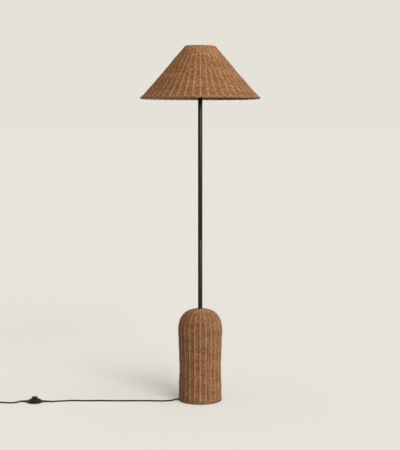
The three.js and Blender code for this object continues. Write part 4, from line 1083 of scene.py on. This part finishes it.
@dataclass
class Plug:
    """The flat two-pin plug with its moulded sleeve and half-sheathed pins, pointing to -Y."""

    start: Point = (-934 * MM, -169 * MM, 7 * MM)
    thickness: float = 14 * MM
    length: float = 36 * MM
    width: float = 35 * MM
    neck_width: float = 17 * MM
    bevel: float = 2.5 * MM
    side_bevel: float = 4 * MM
    side_segments: int = 5
    rim_segments: int = 4
    sharp_from: float = 1.0
    sleeve_length: float = 25 * MM
    sleeve_end: float = 1.5 * MM
    sleeve_radius: float = 4.6 * MM
    sleeve_tip: float = 3.6 * MM
    sleeve_ribs: int = 6
    sleeve_rounding: float = 0.4 * MM
    round_sides: int = 32
    rib_depth: float = 0.45 * MM
    pin_radius: float = 2 * MM
    pin_length: float = 19 * MM
    pin_spacing: float = 18.6 * MM
    pin_seat: float = 4.7 * MM
    pin_rounding: float = 1.4 * MM
    pin_steps: int = 5
    sheathed: float = 9.5 * MM
    sheath_wall: float = 0.4 * MM
    sheath_gap: float = 0.05 * MM
    tip_gap: float = 0.1 * MM

    def body(self) -> Shape:
        """The flat moulded body.

        Returns:
            Its shape.
        """
        near, far = self.sleeve_length, self.sleeve_length + self.length
        half, neck, waist = self.width / 2, self.neck_width / 2, near + self.length / 2
        outline = [(-neck, near), (neck, near), (half, waist), (half, far), (-half, far), (-half, waist)]
        shape = bmesh.new()
        face = shape.faces.new([shape.verts.new((x, -self.thickness / 2, z)) for x, z in outline])
        grown = bmesh.ops.extrude_face_region(shape, geom=[face])["geom"]
        lifted = [g for g in grown if isinstance(g, bmesh.types.BMVert)]
        bmesh.ops.translate(shape, verts=lifted, vec=(0, self.thickness, 0))
        bmesh.ops.recalc_face_normals(shape, faces=shape.faces)
        sides, rims = (True, self.side_bevel, self.side_segments), (False, self.bevel, self.rim_segments)
        for upright, offset, segments in (sides, rims):
            rise = {e: abs(e.verts[0].co.y - e.verts[1].co.y) for e in shape.edges}
            edges = [e for e in rise if (rise[e] > self.bevel if upright
                                         else rise[e] < WELD * 10 and e.calc_face_angle(0) > self.sharp_from)]
            bmesh.ops.bevel(shape, geom=edges, offset=offset, offset_type="OFFSET", affect="EDGES",
                            segments=segments, profile=0.5, material=-1, clamp_overlap=True)
        return shape

    def sleeve(self) -> Shape:
        """The ribbed sleeve behind the body.

        Returns:
            Its shape.
        """
        reach, end = self.sleeve_length + self.bevel, self.sleeve_end
        widths = np.linspace(self.sleeve_tip, self.sleeve_radius, 2 * self.sleeve_ribs + 1)[1::2]
        return turned([
            (0, 0), (self.sleeve_tip, 0), (self.sleeve_tip, end),
            *ribbed(end, self.sleeve_length - end, widths, self.rib_depth), (self.sleeve_radius, reach), (0, reach),
        ], self.sleeve_rounding, self.round_sides, 2)

    def pin(self) -> Shape:
        """One pin.

        Returns:
            Its shape.
        """
        core = self.pin_radius - self.sheath_wall - self.sheath_gap
        face = self.sleeve_length + self.length
        root, start, tip = face - self.pin_seat, face + self.sheathed + self.tip_gap, face + self.pin_length
        profile = [(0, root), (core, root), (core, start), (self.pin_radius, start), (self.pin_radius, tip), (0, tip)]
        return turned(profile, self.pin_rounding, self.round_sides, self.pin_steps, (1, 2, 3))

    def sheath(self) -> Shape:
        """The sheath round a pin's root.

        Returns:
            Its shape.
        """
        face = self.sleeve_length + self.length
        bore = self.pin_radius - self.sheath_wall
        return tube(bore, self.pin_radius, face - self.pin_seat, face + self.sheathed, 0, self.round_sides)

    def build(self) -> list[Piece]:
        """Makes the plug.

        Returns:
            Its pieces.
        """
        grip, metal = Place("stand", "black_plastic", Finish.RUBBER), Place("stand", "nickel_pin", Finish.NICKEL)
        parts = [(MOULDING, "plug_moulding", self.body(), 0, ("plug_body",)),
                 (grip, "plug_sleeve", self.sleeve(), 0, ())]
        for number, side in ((1, 1), (2, -1)):
            parts.append((metal, f"plug_prong_{number}", self.pin(), side, (f"plug_pin_{number}",)))
            parts.append((MOULDING, f"plug_prong_sheath_{number}", self.sheath(), side, ()))
        pieces = []
        for place, name, shape, side, nodes in parts:
            bmesh.ops.translate(shape, verts=shape.verts, vec=(side * self.pin_spacing / 2, 0, 0))
            pieces.append(place.solid(name, laid(shape, Axis.TO_MINUS_Y, self.start), *nodes))
        return pieces


# Base


@dataclass
class WovenBase:
    """The woven dome over the weight, with its foot border and the rubber grommet of the lead."""

    profile: tuple[tuple[float, float], ...] = (
        (91.0, 9.0), (90.2, 28), (90.5, 67), (89.2, 93), (88.3, 119), (87.8, 145), (89.2, 184), (89.7, 210),
        (91.3, 236), (91.6, 262), (93.2, 287.7), (94.0, 300.6), (93.5, 313.5), (91.4, 326.4), (88.8, 339.1),
        (84.6, 351.8), (77.3, 364.3), (65.5, 376.5), (54, 384), (41.2, 389.6), (26, 393), (14, 394.4), (11, 394.6),
    )
    crest: float = 2.4
    side_from: float = 60.0
    count: int = 24
    sway: float = 0.003
    sides_end: float = 56 * MM
    half_end: float = 34 * MM
    cuts: tuple[float, ...] = (0, 0.27, 0.54, 1)
    border: RopeBorder = RopeBorder(
        "base_foot_border", Place("stand", "rattan_border", Finish.SHADED_BORDER), ("base_wicker_border",), 88.2 * MM,
        4.5 * MM, 2.2 * MM, 2.4 * MM, 1.6 * MM, (0, 0.22, 0.5, 0.72), 12, opening=math.radians(6.2),
    )
    grommet_middle: float = 4.4 * MM
    grommet_bore: float = 3.05 * MM
    grommet_radius: float = 4.1 * MM
    grommet_ends: Span = (84 * MM, 95 * MM)
    grommet_rounding: float = 0.5 * MM
    grommet_sides: int = 32
    stake_seed: int = 11

    def stakes(self, outline: Outline) -> list[Stake]:
        """Main and side stakes, which thin out towards the pole.

        Args:
            outline: The weave's middle surface.

        Returns:
            The stakes.
        """
        rng = np.random.default_rng(self.stake_seed)
        thin, bare = (float(outline.reach[np.argmax(outline.points[:, 0] < radius)])
                      for radius in (self.sides_end, self.half_end))
        half = self.count // 2
        kinds = ((half, outline.length, 0, True), (half, bare, 0.5, True), (self.count, thin, 0.5, False))
        return [Stake.by_hand((0, end), [FULL_TURN * (i + offset) / count] * 2, main, self.sway, rng)
                for count, end, offset, main in kinds for i in range(count)]

    def build(self) -> None:
        """Makes the weave, the border and the grommet."""
        outline = Outline([((r - self.crest) * MM, z * MM) if r > self.side_from else (r * MM, (z - self.crest) * MM)
                           for r, z in self.profile])
        weave = Weave("base_weave", outline, self.stakes(outline), seed=5, main_gap=4.6 * MM, side_sink=MM)
        weave.build(self.cuts, Place("stand", "rattan", Finish.BASE_CANE), "base_wicker_cover")
        self.border.build()
        low, high = self.grommet_ends
        sleeve = tube(self.grommet_bore, self.grommet_radius, low, high, self.grommet_rounding, self.grommet_sides)
        RUBBER.solid("lead_grommet", laid(sleeve, Axis.TO_MINUS_X, (0, 0, self.grommet_middle)), "cord_grommet")


# Shade


@dataclass
class WovenShade:
    """The woven cone with its borders and the wire frame inside it."""

    profile: tuple[tuple[float, float], ...] = (
        (249.6, 1287.3), (237.5, 1298.5), (225.5, 1310.9), (214.2, 1323.4), (203.4, 1335.9), (192.8, 1348.3),
        (182.0, 1360.8), (170.8, 1373.2), (159.9, 1385.6), (149.2, 1398.1), (138.9, 1410.5), (128.6, 1422.9),
        (118.4, 1435.3), (108.3, 1447.7), (97.4, 1460.1), (86.4, 1472.5), (75.6, 1484.9), (65.8, 1496.3),
    )
    rounds: int = 2
    crest: float = 2.9
    sectors: int = 12
    stake_seed: int = 23
    sway: float = 0.0016
    bends: tuple[float, ...] = (1384.0, 1399.0, 1414.0, 1455.0)
    cuts: tuple[float, ...] = (0, 0.28, 0.56, 1)
    borders: tuple[ArchBorder | RopeBorder, ...] = (
        ArchBorder("shade_rim_arches", SHADE_RIM, ("shade_rim_border",), 248.2 * MM, 1287.2 * MM, 1278.9 * MM,
                   1.45 * MM, 48),
        RopeBorder("shade_rim_rope", SHADE_RIM, (), 247.6 * MM, 1286.6 * MM, 1.7 * MM, 1.4 * MM, 1.3 * MM,
                   (0, 1 / 3, 2 / 3), 16),
        RopeBorder("shade_top_roll", Place("shade", "rattan_border", Finish.SHADED_BORDER), ("shade_top_border",), 57.6 * MM,
                   1495.7 * MM, 6.6 * MM, 2.7 * MM, 2.1 * MM, tuple(i / 6 for i in range(6)), 6, seed=9, samples=12),
    )
    frame_inset: float = 9.3 * MM
    ring_inset: float = 2 * MM
    wire: float = 1.5 * MM
    ring_points: int = 96
    rib_points: int = 30
    rib_ends: float = 1 * MM
    binding_pitch: float = 2.6 * MM
    binding_radius: float = 1.35 * MM
    binding_cane: float = 0.8 * MM
    binding_points: int = 8
    arm: float = 2 * MM
    arm_bend: Profile = ((25.0, 1382.0), (36.0, 1382.0), (40.5, 1382.5), (43.4, 1384.6), (44.9, 1388.0))
    arm_end: float = 0.3 * MM
    carrier: tuple[float, ...] = (19.8 * MM, 28 * MM, 1381 * MM, 1383 * MM, 0.4 * MM)

    def stakes(self, outline: Outline) -> list[Stake]:
        """Stakes in twelve sectors, three above and four below in each, with side stakes between them.

        Args:
            outline: The weave's middle surface.

        Returns:
            The stakes.
        """
        rng = np.random.default_rng(self.stake_seed)
        low, tip_low, high, tip = (float(np.interp(h * MM, outline.points[:, 1], outline.reach)) for h in self.bends)
        top = outline.length
        # Angle below, angle above, top end and kind of each stake of a sector
        plan = (
            (0.0, 0.0, top, True), (3.75, 5.0, tip, False), (7.5, 10.0, top, True), (11.25, 12.0, tip_low, False),
            (15.0, 15.0, tip_low, True), (18.75, 18.0, tip_low, False), (22.5, 20.0, top, True),
            (26.25, 25.0, tip, False),
        )
        stakes = []
        for start in np.linspace(0, 360, self.sectors, endpoint=False):
            for below, above, end, main in plan:
                under, over = math.radians(start + below), math.radians(start + above)
                reaches = (0, low, end) if end == tip_low else (0, low, high, end)
                stakes.append(Stake.by_hand(reaches, (under, under, over, over)[:len(reaches)], main, self.sway, rng))
            # The main stake in the middle of a sector ends below, and a side stake goes on above it
            middle = math.radians(start + 180 / self.sectors)
            stakes.append(Stake((tip_low + 1e-6, tip), (middle, middle), False, rng.uniform(0.75, 1.0)))
        return stakes

    def wires(self) -> None:
        """Makes the two rings with their binding, and the four ribs."""
        angle = np.linspace(0, FULL_TURN, self.ring_points, endpoint=False)
        for place, node in (("rim", "shade_rim_wire"), ("top", "shade_top_wire")):
            low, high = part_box(node)
            radius, height = high.x - self.ring_inset, (low.z + high.z) / 2
            ring = Strand(around(radius, angle, height), self.wire, closed=True)
            SHADE_PAINT.tubes(f"shade_frame_{place}_ring", [ring], node, ring=3)
            SHADE_RIM.tubes(f"shade_frame_{place}_binding", [self._binding(radius, height)])
        outer = Outline([(r * MM, z * MM) for r, z in self.profile], self.rounds)
        radii, heights = outer.at(np.linspace(0, outer.length, self.rib_points), -self.frame_inset)
        for number in range(1, 5):
            low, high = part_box(f"shade_rib_{number}")
            inside = (heights > low.z + self.rib_ends) & (heights < high.z - self.rib_ends)
            rib = Strand(around(radii, math.pi / 2 * (number - 0.5), heights)[inside], self.wire)
            SHADE_PAINT.tubes(f"shade_frame_rib_{number}", [rib], f"shade_rib_{number}", ring=2)

    def _binding(self, radius: float, height: float) -> Strand:
        """The cane that is wound round a wire ring.

        Args:
            radius: The ring's radius.
            height: The ring's height.

        Returns:
            The cane.
        """
        turns = round(FULL_TURN * radius / self.binding_pitch)
        angle = np.linspace(0, FULL_TURN, turns * self.binding_points, endpoint=False)
        out = radius + self.binding_radius * np.cos(angle * turns)
        points = around(out, angle, height + self.binding_radius * np.sin(angle * turns))
        return Strand(points, self.binding_cane, closed=True)

    def carry(self) -> None:
        """Makes the carrier's three arms and its ring."""
        end = (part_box("shade_top_wire")[1].x - self.ring_inset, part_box("shade_carrier")[1].z - self.arm_end)
        out, up = np.array([(r * MM, z * MM) for r, z in self.arm_bend] + [end]).T
        arms = [Strand(around(out, math.pi / 2 + FULL_TURN * number / 3, up), self.arm) for number in range(3)]
        SHADE_PAINT.tubes("shade_carrier_arms", arms, "shade_carrier", ring=3)
        SHADE_PAINT.solid("shade_carrier_ring", tube(*self.carrier))

    def build(self) -> None:
        """Makes the whole shade."""
        (foot, low), *_, (top, high) = self.profile
        lean = math.atan2(foot - top, high - low)
        inset, drop = self.crest * math.cos(lean), self.crest * math.sin(lean)
        outline = Outline([((r - inset) * MM, (z - drop) * MM) for r, z in self.profile], self.rounds)
        weave = Weave("shade_weave", outline, self.stakes(outline), seed=7)
        weave.build(self.cuts, Place("shade", "rattan", Finish.CANE), "shade_wicker_cone")
        for border in self.borders:
            border.build()
        self.wires()
        self.carry()


# Pole, lampholder and bulb


@dataclass
class Metalwork:
    """The pole, the lampholder, the shade's ring nut and the bulb."""

    pole_radius: float = 9.5 * MM
    pole_wall: float = 1.2 * MM
    pole_rounding: float = 0.4 * MM
    holder_radius: float = 19.5 * MM
    cap_bore: float = 5.3 * MM
    cap_crown: float = 12.5 * MM
    cap_wall: float = 2.5 * MM
    cap_shoulder: float = 7 * MM
    cap_rounding: float = 1.2 * MM
    cap_flutes: tuple[float, ...] = (19.2 * MM, 9 * MM, 2 * MM, 0.5 * MM)
    skirt_bore: float = 14.5 * MM
    skirt_rounding: float = 0.4 * MM
    shoulder_radius: float = 23.5 * MM
    shoulder_rise: float = 25.7 * MM
    shoulder_height: float = 4 * MM
    thread_crests: int = 6
    thread_depth: float = 0.6 * MM
    thread_end: float = 1 * MM
    nut_bore: float = 19.8 * MM
    nut_radius: float = 24 * MM
    nut_rounding: float = 0.9 * MM
    nut_flutes: tuple[float, ...] = (23 * MM, 0, 0, 0.9 * MM)
    flutes: int = 24
    fluted_sides: int = 96
    bulb_neck: float = 10.9 * MM
    bulb_neck_height: float = 14.3 * MM
    bulb_radius: float = 27.5 * MM
    bulb_glass: float = 1 * MM
    bulb_lift: float = 1.5
    bulb_steps: tuple[int, int] = (16, 12)

    def _flute(self, shape: Shape, low: float, high: float, beyond: float, above: float, below: float,
               depth: float) -> Shape:
        """Presses flutes into the outer wall of a turned shape.

        Args:
            shape: The shape.
            low: The shape's lowest height.
            high: The shape's highest height.
            beyond: Only points further out than this move.
            above: How far above the lowest height they start.
            below: How far below the highest height they end.
            depth: How deep the flutes are.

        Returns:
            The shape.
        """
        for vert in shape.verts:
            radius = math.hypot(vert.co.x, vert.co.y)
            if radius >= beyond and low + above <= vert.co.z <= high - below:
                wave = math.cos(math.atan2(vert.co.y, vert.co.x) * self.flutes)
                vert.co.xy *= 1 - depth * max(wave, 0.0) / radius
        return shape

    def cap(self, low: float, high: float) -> Shape:
        """The lampholder's fluted cap.

        Args:
            low: Its lowest height.
            high: Its highest height.

        Returns:
            Its shape.
        """
        radius, shoulder, wall = self.holder_radius, low + self.cap_shoulder, self.cap_wall
        cap = turned([
            (self.cap_bore, low), (self.cap_crown, low), (radius, shoulder), (radius, high), (radius - wall, high),
            (radius - wall, shoulder), (self.cap_crown - wall, low + wall), (self.cap_bore, low + wall),
            (self.cap_bore, low),
        ], self.cap_rounding, self.fluted_sides)
        return self._flute(cap, low, high, *self.cap_flutes)

    def skirt(self, low: float, high: float) -> Shape:
        """The lampholder's threaded skirt.

        Args:
            low: Its lowest height.
            high: Its highest height.

        Returns:
            Its shape.
        """
        radius, bore, root = self.holder_radius, self.skirt_bore, self.holder_radius - self.thread_depth
        shoulder = low + self.shoulder_rise
        above = shoulder + self.shoulder_height
        thread = ribbed(above, high - self.thread_end, [radius] * self.thread_crests, self.thread_depth,
                        ((1, 0.25), (0, 0.75)))
        return turned([
            (bore, low), (radius, low), (radius, shoulder), (self.shoulder_radius, shoulder),
            (self.shoulder_radius, above), (radius, above), *thread, (root, high), (bore, high), (bore, low),
        ], self.skirt_rounding, steps=2)

    def nut(self, low: float, high: float) -> Shape:
        """The fluted nut between two heights."""
        nut = tube(self.nut_bore, self.nut_radius, low, high, self.nut_rounding, self.fluted_sides)
        return self._flute(nut, low, high, *self.nut_flutes)

    def globe(self, low: float, high: float) -> Shape:
        """The bulb's glass.

        Args:
            low: Its lowest height.
            high: Its highest height.

        Returns:
            Its shape.
        """
        neck, wide, thick = self.bulb_neck, self.bulb_radius, self.bulb_glass
        shoulder, body = low + self.bulb_neck_height, high - wide
        third = (body - shoulder) / 3
        flank, dome = self.bulb_steps
        outer = [(neck, low)]
        for t in np.linspace(0, 1, flank + 1):
            parts = ((1 - t) ** 3, 3 * t * (1 - t) ** 2, 3 * t ** 2 * (1 - t), t ** 3)
            corners = ((neck, shoulder), (neck, shoulder + third), (wide, body - self.bulb_lift * third), (wide, body))
            outer.append(tuple(sum(p * corner[i] for p, corner in zip(parts, corners)) for i in (0, 1)))
        inner = [(r - thick, z) for r, z in outer]
        for a in np.linspace(0, math.pi / 2, dome + 1)[1:-1]:
            for side, radius in ((outer, wide), (inner, wide - thick)):
                side.append((radius * math.cos(a), body + radius * math.sin(a)))
        return turned([*outer, (0, high), (0, high - thick), *reversed(inner), outer[0]])

    def pole(self, low: float, high: float) -> Shape:
        """A pole tube between two heights."""
        return tube(self.pole_radius - self.pole_wall, self.pole_radius, low, high, self.pole_rounding)

    def build(self) -> None:
        """Makes all of it, each piece as high as its CAD node."""
        paint = Place("stand", "black_paint", Finish.BLACK_PAINT)
        nut, glass = Place("shade_nut", "black_plastic", Finish.PLASTIC), Place("bulb", "opal_glass", Finish.OPAL)
        for place, name, node, make in (
            (paint, "pole_lower_section", "pole_lower_tube", self.pole),
            (paint, "pole_upper_section", "pole_upper_tube", self.pole),
            (MOULDING, "lampholder_moulded_cap", "lampholder_cap", self.cap),
            (MOULDING, "lampholder_threaded_skirt", "lampholder_skirt", self.skirt),
            (nut, "shade_fluted_nut", "shade_ring_nut", self.nut),
            (glass, "bulb_opal_globe", "bulb_glass", self.globe),
        ):
            low, high = (corner.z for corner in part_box(node))
            place.solid(name, make(low, high), node)


# What stays from the CAD model

KEPT_NODES: dict[Finish, tuple[str, ...]] = {
    Finish.FELT: ("base_felt_pad",),
    Finish.IRON: ("base_weight",),
    Finish.ZINC: (
        "base_clamp_washer", "base_clamp_nut", "base_threaded_rod", "base_frame_hoop", "base_frame_wire_1",
        "base_frame_wire_2", "base_frame_wire_3", "pole_foot_insert", "pole_joiner", "pole_top_insert",
        "lampholder_nipple", "lampholder_lock_nut", "switch_cover_screw_1", "switch_cover_screw_2",
    ),
    Finish.BLACK_PAINT: ("pole_foot_flange", "dome_collar"),
    Finish.CERAMIC: ("lampholder_insulator", "bulb_light_stem", "switch_terminal_block"),
    Finish.BRASS: ("lampholder_centre_contact", "bulb_contact_tip"),
    Finish.ALUMINIUM: ("bulb_screw_cap",),
    Finish.SHEATH: ("inner_lead",),
}


def dress_kept_nodes() -> None:
    """Gives every CAD node that shows its finish."""
    for finish, names in KEPT_NODES.items():
        for name in names:
            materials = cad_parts[name].data.materials
            materials.clear()
            materials.append(finish.material())
            LOG.info("%s stays, in %s", name, finish.value.name)


# Studio


class LampKind(Enum):
    """A kind of lamp."""

    SUN = "SUN"
    SPOT = "SPOT"


@dataclass(frozen=True)
class Lamp:
    """A lamp at a place, aimed at a point, with the settings of its kind."""

    name: str
    kind: LampKind
    at: Point
    aim: Point
    settings: dict[str, float]

    def build(self) -> None:
        """Makes the lamp."""
        data = bpy.data.lights.new(self.name, self.kind.value)
        for key, value in self.settings.items():
            setattr(data, key, value)
        lamp = bpy.data.objects.new(self.name, data)
        lamp.location = self.at
        lamp.rotation_euler = (Vector(self.at) - Vector(self.aim)).to_track_quat("Z", "Y").to_euler()
        bpy.context.scene.collection.objects.link(lamp)


def soft_sun(name: str, bearing: float, elevation: float, strength: float, spread: float) -> Lamp:
    """A sun lamp with a broad disc.

    Args:
        name: Its name.
        bearing: Degrees from the camera's side towards +X.
        elevation: Degrees above the floor.
        strength: Its strength.
        spread: The disc's width in degrees.

    Returns:
        The lamp.
    """
    turn, rise = math.radians(bearing), math.radians(elevation)
    at = (math.sin(turn) * math.cos(rise), -math.cos(turn) * math.cos(rise), math.sin(rise))
    return Lamp(name, LampKind.SUN, at, (0, 0, 0), {"energy": strength, "angle": math.radians(spread)})


@dataclass
class Studio:
    """Pale floor and backdrop, soft light from the front right, a low lamp under the shade, and the camera."""

    backdrop: Colour = (0.791, 0.761, 0.693)
    world_light: float = 0.34
    lamps: tuple[Lamp, ...] = (
        soft_sun("key", 27, 20, 2.0, 36), soft_sun("side", 52, 10, 1.6, 70),
        Lamp("low", LampKind.SPOT, (0.62, -0.30, 0.33), (-0.12, 0.08, 1.32),
             {"energy": 50.0, "spot_size": math.radians(26.0), "spot_blend": 1.0, "shadow_soft_size": 0.1}),
    )
    floor_share: float = 0.8
    floor_level: float = 0.665
    bounce_share: float = 0.5
    floor_size: float = 400.0
    camera_at: Point = (-0.00085, -4.9144, 1.1653)
    camera_tilt: float = 0.08413
    lens: float = 93.48
    sensor: float = 36.0
    farthest: float = 2000.0

    def camera(self) -> None:
        """Makes the camera."""
        data = bpy.data.cameras.new("photo_camera")
        data.lens, data.sensor_width, data.clip_end = self.lens, self.sensor, self.farthest
        camera = bpy.data.objects.new("photo_camera", data)
        camera.location = self.camera_at
        camera.rotation_euler = (math.pi / 2 - self.camera_tilt, 0, 0)
        bpy.context.scene.collection.objects.link(camera)
        bpy.context.scene.camera = camera

    def _end(self, graph: Graph, light: Signal, look: Signal, kind: str = "ShaderNodeOutputMaterial") -> None:
        """Ends a graph in the look where the camera, a mirror or a glass sees it, and in the light elsewhere.

        Args:
            graph: The graph.
            light: The shader that gives light.
            look: The shader that is seen.
            kind: The type of its last node.
        """
        seen = graph.node("ShaderNodeLightPath", {}, "Is Camera Ray")
        for ray in ("Is Glossy Ray", "Is Transmission Ray"):
            seen = seen.joined("MAXIMUM", graph.node("ShaderNodeLightPath", {}, ray))
        graph.show(graph.node("ShaderNodeMixShader", {0: seen, 1: light, 2: look}), kind)

    def floor(self) -> None:
        """Makes the floor: lit, it has the backdrop's colour, and part of that is its own glow."""
        shape = bmesh.new()
        bmesh.ops.create_grid(shape, x_segments=1, y_segments=1, size=self.floor_size)
        floor = object_from(shape, "studio_floor")
        graph = Graph(bpy.data.materials.new("studio_floor"))
        bounce, lit, glow = (
            graph.node(kind, {"Color": tuple(c * share for c in self.backdrop)}) for kind, share in (
                ("ShaderNodeBsdfDiffuse", self.bounce_share),
                ("ShaderNodeBsdfDiffuse", self.floor_share / self.floor_level),
                ("ShaderNodeEmission", 1 - self.floor_share),
            )
        )
        self._end(graph, bounce, graph.node("ShaderNodeAddShader", {0: lit, 1: glow}))
        floor.data.materials.append(graph.owner)
        bpy.context.scene.collection.objects.link(floor)

    def world(self) -> None:
        """Makes the world: an even light, seen as the backdrop's colour."""
        graph = Graph(bpy.data.worlds.new("studio"))
        light, backdrop = (graph.node("ShaderNodeBackground", {"Color": colour})
                           for colour in ((self.world_light,) * 3, self.backdrop))
        self._end(graph, light, backdrop, "ShaderNodeOutputWorld")
        bpy.context.scene.world = graph.owner

    def build(self) -> None:
        """Makes the floor, the world and the lamps, with colours shown as they are."""
        self.floor()
        self.world()
        for lamp in self.lamps:
            lamp.build()
        bpy.context.scene.view_settings.view_transform = "Standard"


def write_sizes() -> None:
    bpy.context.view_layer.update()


def main() -> None:
    """Builds the lamp around its frame."""
    logging.basicConfig(level=logging.INFO, format="%(message)s")
    studio = Studio()
    studio.camera()
    lead = LampLead()
    first, second = lead.build()
    FootSwitch().build()
    Plug().build()
    for assembly in (WovenBase(), WovenShade(), Metalwork()):
        assembly.build()
    dress_kept_nodes()
    studio.build()
    write_sizes()


if __name__ == "__main__":
    main()
